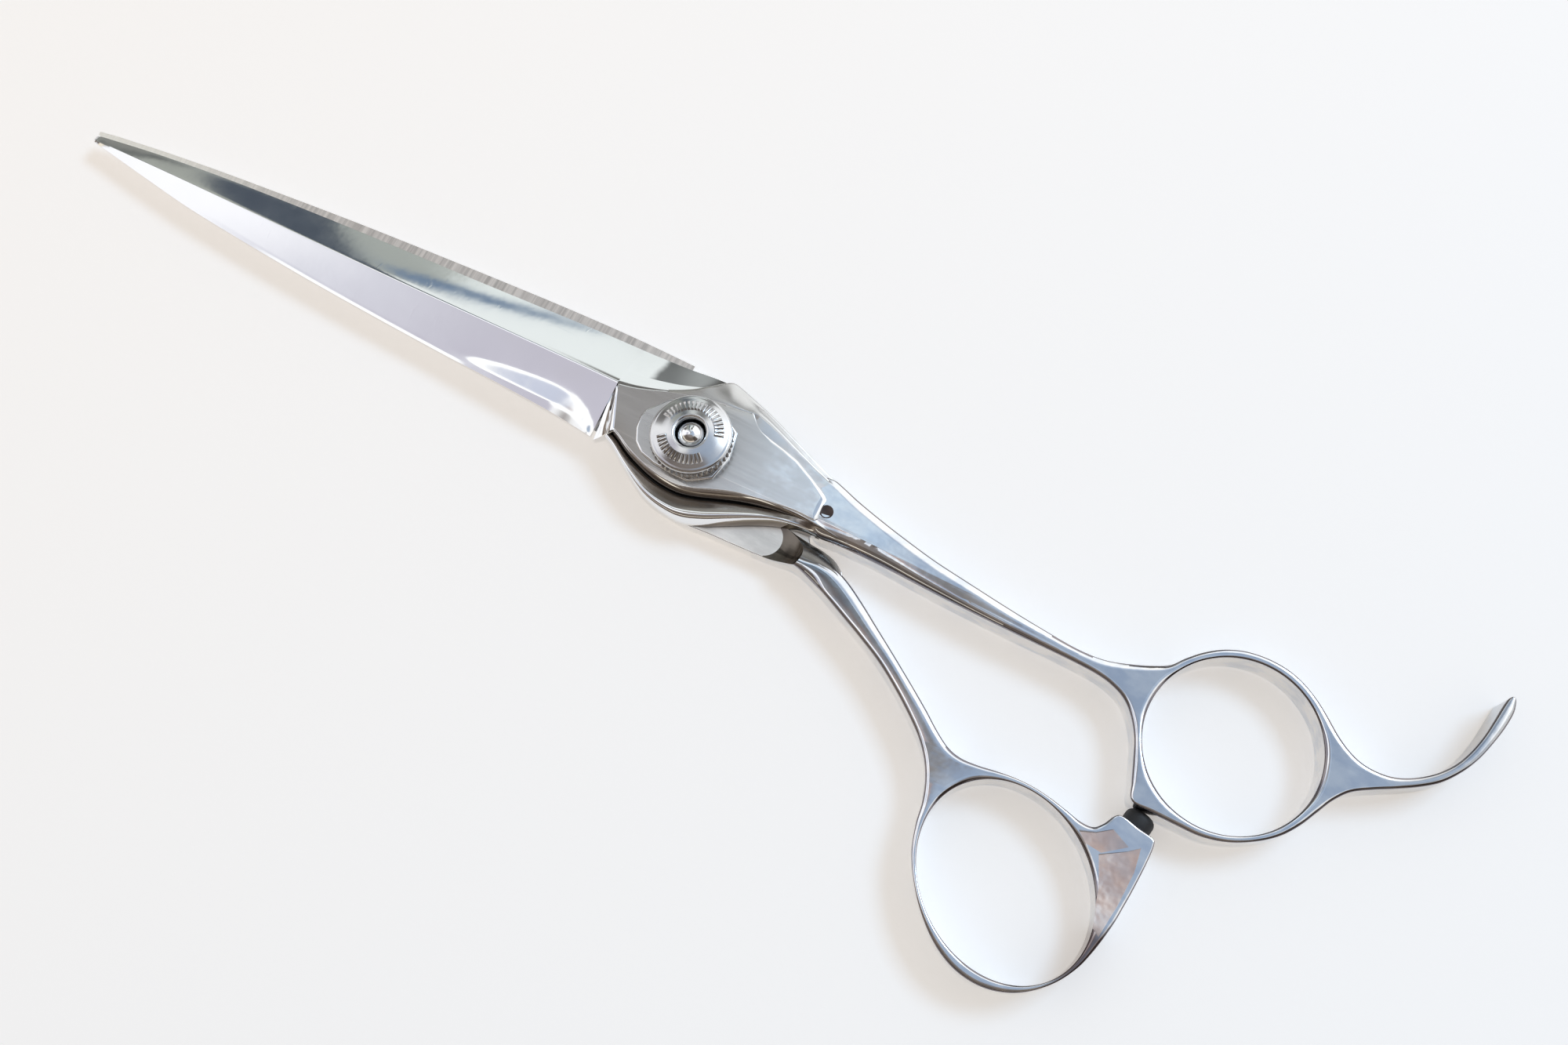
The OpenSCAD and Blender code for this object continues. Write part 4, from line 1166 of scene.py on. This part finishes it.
class SHEARS_OT_thumb_handle(Builder, bpy.types.Operator):
    """Shank, ring and bumper lug of the thumb half"""

    bl_idname = "shears.thumb_handle"
    bl_label = "Thumb handle"

    def build(self, fin, siz, stu):
        # painted shade: the tops are dark at the shank's root and all three finishes paint a brown reflection by the
        # lug; the rims' dark tone is a painted reflection
        steel = shank_steel("polished thumb handle edges", fin.steel, fin.gloss + 0.01, (0.040, 0.050, 1.0, 0.97), True)
        flat = shank_steel("polished thumb handle steel", fin.steel, fin.gloss + 0.02, (0.018, 0.046, 0.30, 0.95), True)
        rim = shank_steel("thumb handle rims painted reflection", RIM_REFLECTION_TONE, fin.gloss + 0.03, (0.050, 0.056, 1.0, 0.9), True)
        # painted shade: the cove cutter gives its cut faces a dark brown finish
        shade = satin_steel("cove painted shade", (0.17, 0.15, 0.13), 0.24)
        obj = thumb_handle_shape().make("thumb_handle_polished", [flat, steel, rim], weigh=False)
        # painted shade: the shoulder under the finger shank takes a dark finish
        slope = satin_steel("shoulder painted shade", (0.26, 0.25, 0.235), 0.22)
        shoulder = shoulder_shape().make("shoulder", [slope], weigh=False)
        # a round cove and a straight step clear the root of the shank for the tang of the finger half
        cove, box = Shape(), Shape()
        arc = [(1.1 + 4.6 * math.sin(math.radians(a)), 3.1 - 3.1 * math.cos(math.radians(a))) for a in range(0, 91, 6)]
        cove.lathe([(0, 0)] + arc + [(5.7, 7), (0, 7)], (13.2, -6.2, STEP_FLOOR), 96)
        box.slab([(7, -12), (14.2, -12), (14.2, -2), (7, -2)], (), STEP_FLOOR, FACE + 6, 0.0, 0.0, steps=1)
        for cutter, name, mat in ((cove, "cove cutter", shade), (box, "step cutter", steel)):
            for piece in (shoulder, obj):
                carve(piece, cutter.make(name, [mat], weigh=False))
        for loop, (px, py, pz), (sx, sy) in LUG_FACETS:
            facet = Shape()
            facet.skin([[(x, y, pz + sx * (x - px) + sy * (y - py)) for x, y in loop], [(x, y, 8.0) for x, y in loop]])
            carve(obj, facet.make("facet cutter", [steel], weigh=False))
        obj = join("thumb_handle_polished", [obj, shoulder])
        even(obj)
        place(obj, "thumb_half", ["thumb_handle"])


class SHEARS_OT_dial(Builder, bpy.types.Operator):
    """Tension dial with its knurl and marks"""

    bl_idname = "shears.dial"
    bl_label = "Tension dial"

    def build(self, fin, siz, stu):
        steel = turned_steel("turned dial steel", rgb(fin.steel, 0.78)[:3], 0.14)
        z0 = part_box("tension_dial")[0].z / MM
        # radius and height: knurled wall, dome, then the well round the bolt's tip
        prof = [(1.85, 0.0), (4.85, 0.0), (5.0, 0.12), (5.0, 0.32), (4.88, 0.40), (4.88, 1.72), (5.0, 1.80),
                (5.06, 1.90), (5.02, 2.05), (4.90, 2.14), (4.72, 2.20)]
        prof += smooth([(4.62, 2.215), (4.2, 2.36), (3.6, 2.56), (3.0, 2.72), (2.5, 2.82), (2.28, 2.86)], 3)
        prof += [(2.18, 2.86), (2.05, 2.80), (1.95, 2.66), (1.92, 2.5), (1.86, 2.2), (1.85, 2.0)]
        s, n, seg = Shape(), len(prof), 160
        angles = [2 * math.pi * i / seg for i in range(seg)]
        s.skin([[(r * math.cos(a), r * math.sin(a), z0 + z) for r, z in prof] for a in angles], caps=False)
        last = (seg - 1) * n
        for j in range(n):
            k = (j + 1) % n
            s.faces.append((last + j, j, k, last + k))
            s.kinds.append(0)
        body = s.make("dial body", [steel], 40.0)
        settle(body)
        ridge = Shape()
        ridge.skin([[(-0.3, -0.30, z0 + z), (0.02, -0.22, z0 + z), (0.30 * q, 0.0, z0 + z), (0.02, 0.22, z0 + z),
                     (-0.3, 0.30, z0 + z)] for z, q in ((0.34, 0.1), (0.44, 1.0), (1.62, 1.0), (1.74, 0.1))])
        knurl = ringed(ridge, "knurl", steel, "Knurl ring", siz.knurls, 4.86)
        # a tick lies along the dome's slope: half length, half widths at its foot, top edge and crown
        long, foot, brim, crown, rise = 0.58, 0.19, 0.17, 0.06, 0.30
        inner, outer = z0 + 2.72, z0 + 2.32
        marks = []
        for i, (start, sweep, count) in enumerate(((0.35, 2.75, siz.ticks), (3.75, 1.95, int(siz.ticks * 0.7)))):
            tick = Shape()
            tick.skin([[(-x, -w, inner + a), (x, -w, outer + b), (x, w, outer + b), (-x, w, inner + a)]
                       for x, w, a, b in ((long, foot, -0.4, -0.3), (long, brim, rise * 0.6, rise * 0.6),
                                          (long - 0.09, crown, rise, rise))])
            marks.append(ringed(tick, "marks %d" % i, steel, "Tension marks %d" % i, count, 3.55, start, sweep))
        obj = join("tension_dial_turned", [body, knurl] + marks)
        even(obj, 40.0)
        place(obj, "dial", ["tension_dial"])


class SHEARS_OT_bolt(Builder, bpy.types.Operator):
    """Pivot bolt with its pin-key head and domed tip"""

    bl_idname = "shears.bolt"
    bl_label = "Pivot bolt"

    def build(self, fin, siz, stu):
        steel = turned_steel("turned bolt steel", fin.steel, 0.09)
        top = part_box("pivot_bolt")[1].z / MM
        r = siz.bolt_tip
        s = Shape()
        prof = [(0, 0), (3.6, 0), (3.95, 0.10), (4.15, 0.30), (4.18, 0.55), (4.18, 0.88), (2.5, 0.9), (2.48, 3.3),
                (2.0, 3.35), (2.0, 5.2), (1.78, 5.25), (1.78, top - 1.35), (r, top - 1.12)]
        ball = r * 1.12
        prof += [(r * q, top - 0.01 - ball + math.sqrt(ball ** 2 - (r * q) ** 2))
                 for q in (1.0, 0.96, 0.9, 0.82, 0.74, 0.65, 0.56, 0.46, 0.36, 0.26, 0.16, 0.08)]
        prof += [(0, top - 0.01)]
        s.lathe(prof, seg=96)
        obj = s.make("pivot_bolt_turned", [steel], 36.0, weigh=False)
        for side in (-2.52, 2.52):
            pin = Shape()
            pin.lathe([(0, -1.0), (0.55, -1.0), (0.55, 0.36), (0.0, 0.42)], (side, 0, 0), 48)
            carve(obj, pin.make("pin hole cutter", [steel], weigh=False))
        even(obj, 36.0)
        place(obj, "finger_half", ["pivot_bolt"])


class SHEARS_OT_click_plate(Builder, bpy.types.Operator):
    """Leaf spring with a chevron end under the dial"""

    bl_idname = "shears.click_plate"
    bl_label = "Click plate"

    def build(self, fin, siz, stu):
        lo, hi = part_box("click_plate")
        outline = [(-7.15, 0.95), (-7.35, -0.2), (-7.05, -1.75), (-6.2, -3.35), (-4.9, -4.35), (-2.9, -4.9),
                   (0.0, -5.05), (2.0, -5.0), (4.6, -3.2), (5.2, 0), (4.4, 3.4), (1.5, 5.1), (-2.4, 4.8), (-5.2, 3.5)]
        angles = [-2 * math.pi * i / 48 for i in range(48)]
        hole = [(1.8 * math.cos(a), 1.8 * math.sin(a)) for a in angles]
        s = Shape()
        s.slab(outline, [hole], lo.z / MM, hi.z / MM, [[0.26] * len(outline), [0.05] * len(hole)], 0.06,
               kind=1, wall_kind=0, steps=4)
        mats = [polished_steel("polished spring steel", fin.steel, 0.09),
                satin_steel("brushed spring steel", rgb(fin.satin, 0.85)[:3], 0.26)]
        obj = s.make("click_plate_bevelled", mats)
        place(obj, "finger_half", ["click_plate"])


class SHEARS_OT_bumper(Builder, bpy.types.Operator):
    """Rubber bumper between the rings"""

    bl_idname = "shears.bumper"
    bl_label = "Bumper"

    def build(self, fin, siz, stu):
        turn = math.radians(-9.6)
        foot = Vector((67.15, -17.24, 2.65))
        high = (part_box("bumper")[1].y / MM - foot.y) / math.cos(turn)
        s = Shape()
        s.lathe([(0, -2.0), (0.9, -2.0), (1.0, -1.9), (1.0, 0.0), (1.62, 0.0), (1.76, 0.08), (1.80, 0.25),
                 (1.80, high - 0.95), (1.74, high - 0.66), (1.58, high - 0.40), (1.32, high - 0.19),
                 (0.98, high - 0.08), (0.5, high - 0.03), (0, high - 0.02)], seg=72)
        s.turn(Matrix.Translation(foot) @ Matrix.Rotation(turn, 4, "Z") @ Matrix.Rotation(math.radians(-90), 4, "X"))
        obj = s.make("bumper_moulded", [soft_rubber("black rubber", fin.rubber)], 40.0)
        place(obj, "thumb_half", ["bumper"])


class SHEARS_OT_bearings(Builder, bpy.types.Operator):
    """Bush and washer inside the joint"""

    bl_idname = "shears.bearings"
    bl_label = "Bush and washer"

    def build(self, fin, siz, stu):
        for node, mat, slot in (
                ("pivot_bush", cast_bronze("bearing bronze", fin.bronze), "bronze"),
                ("slip_washer", slick_plastic("slip washer", (0.80, 0.79, 0.75)), "washer_plastic")):
            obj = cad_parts[node]
            obj.data.materials.clear()
            obj.data.materials.append(mat)


class SHEARS_OT_stage(Builder, bpy.types.Operator):
    """Paper, light, reflections and camera"""

    bl_idname = "shears.stage"
    bl_label = "Studio"

    def build(self, fin, siz, stu):
        ground, sky, window = paper_floor(stu.glow), studio_room(), window_lamp(stu.window)
        room_light(stu.sky)
        set_camera()


def paper_floor(glow):
    """White paper, warm behind the blades and cool before the rings, with a painted glow that lifts its shadows."""
    half = 4000
    floor = Shape()
    floor.verts = [(-half, -half, 0), (half, -half, 0), (half, half, 0), (-half, half, 0)]
    floor.faces, floor.kinds = [(0, 1, 2, 3)], [0]
    paper = Finish("white paper", 0.9, 0.0)
    x, y, _ = paper.axes()
    cool = (0.65 * x - 0.45 * y + 0.02).step(-0.10, 0.12)
    paper.colour(paper.blend(cool, rgb((0.89, 0.865, 0.845)), rgb((0.79, 0.835, 0.885))))
    # painted light: the paper glows to lift the shadows under the shears
    paper.bsdf.inputs["Emission Color"].default_value = (0.97, 0.90, 0.83, 1.0)
    paper.bsdf.inputs["Emission Strength"].default_value = glow
    paper.bump(paper.noise(900.0, detail=3.0), 0.04, 0.0001)
    ground = floor.make("paper", [paper.mat], weigh=False)
    ground.location = (0, 0, -0.02 * MM)
    return ground


def studio_room():
    """The painted room, which only the steel's reflections see."""
    radius = 2500
    angles = [math.radians(a) for a in range(0, 181, 6)]
    dome = Shape()
    dome.lathe([(radius * math.sin(a), -radius * math.cos(a)) for a in angles], seg=48)
    sky = dome.make("studio room", [dome_finish()], weigh=False)
    for ray in ("camera", "diffuse", "shadow", "transmission", "volume_scatter"):
        setattr(sky, "visible_" + ray, False)
    return sky


def room_light(strength):
    """Warm even light from all sides. The camera and mirror rays that miss the room see pale grey instead."""
    world = bpy.data.worlds.new("room light")
    bpy.context.scene.world = world
    world.use_nodes = True
    nodes, link = world.node_tree.nodes, world.node_tree.links.new
    back = nodes["Background"]
    back.inputs["Strength"].default_value = 1.0
    rays = nodes.new("ShaderNodeLightPath").outputs
    seen = rays["Is Camera Ray"]
    for ray in ("Is Glossy Ray", "Is Transmission Ray"):
        total = nodes.new("ShaderNodeMath")
        total.operation, total.use_clamp = "ADD", True
        link(seen, total.inputs[0])
        link(rays[ray], total.inputs[1])
        seen = total.outputs[0]
    tone = nodes.new("ShaderNodeMix")
    tone.data_type = "RGBA"
    link(seen, tone.inputs[0])
    tone.inputs[6].default_value = rgb((0.90, 0.835, 0.765), strength)
    tone.inputs[7].default_value = (0.94, 0.945, 0.95, 1.0)
    link(tone.outputs[2], back.inputs["Color"])


# size, place and aim of the window, in metres
WINDOW_SIZE = (0.42, 0.30)
WINDOW_PLACE = Vector((0.44, 0.60, 0.82))
WINDOW_AIM = Vector((0.0, -0.01, 0.0))


def window_lamp(power):
    """A large soft lamp beyond the shears, to their right, that throws the shadows."""
    lamp = bpy.data.lights.new("window", "AREA")
    lamp.shape, (lamp.size, lamp.size_y) = "RECTANGLE", WINDOW_SIZE
    lamp.energy = power
    lamp.color = (0.52, 0.75, 1.0)
    window = bpy.data.objects.new("window", lamp)
    bpy.context.scene.collection.objects.link(window)
    window.location = WINDOW_PLACE
    window.rotation_mode = "QUATERNION"
    window.rotation_quaternion = (WINDOW_PLACE - WINDOW_AIM).to_track_quat("Z", "Y")
    return window


# the camera's place in metres, its lens and sensor in millimetres, and its right, up and backward directions
CAMERA_PLACE = (0.05146, -0.05353, 0.18947)
CAMERA_LENS, CAMERA_SENSOR = 37.08, 36.0
CAMERA_WAYS = ((0.87801, 0.47645, -0.04605), (-0.44023, 0.84153, 0.31313), (0.18796, -0.25466, 0.94860))


def set_camera():
    scene = bpy.context.scene
    cam = bpy.data.cameras.new("camera")
    cam.lens, cam.sensor_width, cam.clip_start, cam.clip_end = CAMERA_LENS, CAMERA_SENSOR, 0.01, 20.0
    eye = bpy.data.objects.new("camera", cam)
    scene.collection.objects.link(eye)
    eye.matrix_world = Matrix((*zip(*CAMERA_WAYS, CAMERA_PLACE), (0, 0, 0, 1)))
    scene.camera = eye
    scene.view_settings.view_transform = "Standard"


class Room(Finish):
    """Paints what the steel mirrors, by compass direction and height above the table, both in degrees."""

    def __init__(self, name):
        self.mat = bpy.data.materials.new(name)
        self.mat.use_nodes = True
        self.tree = self.mat.node_tree
        self.tree.nodes.clear()
        self.place = self.node("ShaderNodeTexCoord").outputs["Object"]
        unit = self.node("ShaderNodeVectorMath", {"operation": "NORMALIZE"}, i0=self.place)
        n = self.node("ShaderNodeSeparateXYZ", i0=unit.outputs[0])
        self.x, self.y, self.z = [Val(self.tree, q) for q in n.outputs]
        noise = self.node("ShaderNodeTexNoise", Vector=unit.outputs[0], Scale=3.5, Detail=2.0)
        self.drift = Val(self.tree, noise.outputs["Fac"]) - 0.5
        self.azi = self.y.math("ARCTAN2", self.y, self.x) * (180 / math.pi)
        self.ele = self.z.math("ARCSINE", self.z) * (180 / math.pi)

    def bearing(self, middle):
        """Degrees to the left of a compass direction, from -180 to 180."""
        return self.azi.math("WRAP", self.azi - middle, -180.0, 180.0)

    def patch(self, middle, half, low, high, colour, soft, up, drift=0.0):
        """Paints a patch between two heights, half wide to each side of its middle.

        soft and up are the widths of its soft sides and of its soft upper and lower ends. drift makes them uneven.
        """
        a = abs(self.bearing(middle) + drift * self.drift)
        e = self.ele + drift * self.drift
        sides = 1 - a.step(half - soft / 2, half + soft / 2)
        self.paint(sides * e.step(low - up / 2, low + up / 2) * (1 - e.step(high - up / 2, high + up / 2)), colour)

    def paint(self, mask, colour):
        self.tone = self.blend(mask, self.tone, (*colour, 1.0))

    def finish(self):
        light = self.node("ShaderNodeEmission", Color=self.tone, Strength=1.0)
        end = self.node("ShaderNodeOutputMaterial")
        self.tree.links.new(light.outputs[0], end.inputs[0])
        return self.mat


WHITE = (1.28, 1.29, 1.30)
PALE = (0.98, 0.99, 1.0)


def dome_finish():
    """The room round the table: pale walls, a blue ceiling, a dark doorway and a brown side."""
    r = Room("studio room")
    r.tone = (*PALE, 1.0)
    # far wall, bright above the table's edge
    r.patch(85, 50, 12, 64, WHITE, 14, 10)
    # ceiling: blue, brighter to the left, then grey-brown above the tips
    r.patch(0, 181, 64, 95, (0.44, 0.53, 0.67), 6, 8, drift=5.0)
    r.patch(118, 8, 62, 76, (0.72, 0.86, 1.00), 7, 7, drift=4.0)
    r.patch(145, 18, 75, 84, (0.50, 0.35, 0.30), 8, 4)
    r.patch(108, 14, 74.5, 82, (0.27, 0.245, 0.225), 6, 3)
    r.patch(136, 10, 40, 76, (0.36, 0.335, 0.305), 6, 8, drift=3.0)
    # left side: lavender high up, white below and in one narrow strip
    r.patch(198, 52, 48, 64, (0.80, 0.80, 0.88), 4, 11)
    r.patch(198, 52, 60, 78, (0.64, 0.62, 0.71), 4, 8)
    r.patch(198, 52, 16, 54.5, (1.16, 1.16, 1.20), 4, 7)
    r.patch(148, 8, 56, 78, (0.66, 0.70, 0.84), 4, 6)
    r.patch(158, 13, 16, 40, (0.16, 0.15, 0.145), 6, 8)
    r.patch(165, 9, 56, 78, WHITE, 5, 6)
    r.patch(172, 4, 18, 57, WHITE, 3, 6)
    r.patch(185, 38, 71.5, 82, WHITE, 10, 3)
    # near side: pinkish high up, brown below with a cream shelf
    r.patch(-80, 62, 56, 82, (0.27, 0.235, 0.215), 16, 7)
    r.patch(-75, 72, -20, 62, (0.150, 0.120, 0.100), 14, 8)
    r.patch(-95, 62, 27, 34, (1.05, 0.95, 0.80), 12, 3)
    r.patch(-18, 18, 12, 60, (0.085, 0.066, 0.056), 8, 8)
    # left horizon
    r.patch(200, 42, -30, 14, (0.24, 0.19, 0.155), 10, 8)
    # the wall that the blade's upper facet mirrors
    e = r.ele - 18.0
    lit = r.ele.step(8, 12) * (1 - r.ele.step(50, 60))
    side = r.azi - 0.28 * e + 0.12 * r.drift
    hook = r.azi - 0.17 * e + 0.12 * r.drift
    far = 1 - side.step(142, 148)
    r.paint(lit * side.step(109, 112) * far, (0.93, 0.99, 0.97))
    r.paint(lit * side.step(117.8, 119.4) * far, (0.43, 0.46, 0.43))
    streak = r.ele - 0.93 * r.azi + 84.2
    above = streak.step(-0.3, 1.2) * (1 - hook.step(124.0, 124.4))
    r.paint(lit * above * side.step(100, 110), (0.95, 1.0, 0.99))
    line = (1 - (streak + 0.9).step(0.2, 1.6)) * (streak + 3.0).step(-0.9, 0.9)
    line *= side.step(109.5, 116.5) * (1 - hook.step(121.8, 123.8))
    r.paint(lit * line, (0.14, 0.22, 0.345))
    r.paint(lit * hook.step(124.15, 124.5) * (1 - side.step(130.4, 130.8)), (0.080, 0.098, 0.127))
    tip = r.azi - 131.6 - 0.72 * (r.ele - 17.2)
    r.paint(lit * side.step(130.4, 130.8) * far, (0.43, 0.45, 0.41))
    r.paint(lit * tip.step(-0.2, 0.3) * far, (0.27, 0.275, 0.255))
    r.paint(lit * tip.step(-0.2, 0.3) * (1 - tip.step(0.9, 3.2)), (0.15, 0.16, 0.155))
    # dark cupboards beside the far wall
    r.patch(105.5, 4.0, 10, 56, (0.15, 0.145, 0.135), 3.5, 8, drift=2.0)
    r.patch(113, 6.0, 38, 58, (0.15, 0.145, 0.135), 4, 5, drift=2.0)
    # low furniture along the walls
    r.patch(110, 60, -30, 6.5, (0.24, 0.23, 0.235), 10, 4)
    r.patch(117, 15, -30, 17.0, (0.40, 0.425, 0.40), 5, 2.5)
    r.patch(117, 15, -30, 10.0, (0.20, 0.215, 0.21), 5, 3)
    r.patch(20, 45, -30, 6.0, (0.26, 0.235, 0.245), 12, 4)
    # window
    near = (0.42 * r.x + 0.57 * r.y + 0.70 * r.z).step(0.925, 0.975)
    r.paint(near, (1.5, 1.5, 1.5))
    return r.finish()


# ---------------------------------------------------------------- panel
PIECES = ("finger_blade", "finger_handle", "thumb_blade", "thumb_handle", "click_plate", "dial", "bolt", "bumper",
          "bearings", "stage")


class SHEARS_PT_panel(bpy.types.Panel):
    bl_idname = "SHEARS_PT_panel"
    bl_label = "Hair cutting shears"
    bl_space_type = "VIEW_3D"
    bl_region_type = "UI"
    bl_category = "Shears"

    def draw(self, context):
        for name in PIECES:
            self.layout.operator("shears." + name)
        for group in settings():
            box = self.layout.box()
            for key in group.__annotations__:
                box.prop(group, key)


CLASSES = (ShearsFinish, ShearsSizes, ShearsStudio, SHEARS_OT_finger_blade, SHEARS_OT_finger_handle,
           SHEARS_OT_thumb_blade, SHEARS_OT_thumb_handle, SHEARS_OT_dial, SHEARS_OT_bolt, SHEARS_OT_click_plate,
           SHEARS_OT_bumper, SHEARS_OT_bearings, SHEARS_OT_stage, SHEARS_PT_panel)


def register():
    for c in CLASSES:
        bpy.utils.register_class(c)
    bpy.types.Scene.shears_finish = bpy.props.PointerProperty(type=ShearsFinish)
    bpy.types.Scene.shears_sizes = bpy.props.PointerProperty(type=ShearsSizes)
    bpy.types.Scene.shears_studio = bpy.props.PointerProperty(type=ShearsStudio)


def unregister():
    del bpy.types.Scene.shears_studio, bpy.types.Scene.shears_sizes, bpy.types.Scene.shears_finish
    for c in reversed(CLASSES):
        bpy.utils.unregister_class(c)


def main():
    register()
    for name in PIECES:
        getattr(bpy.ops.shears, name)()


if __name__ == "__main__":
    main()
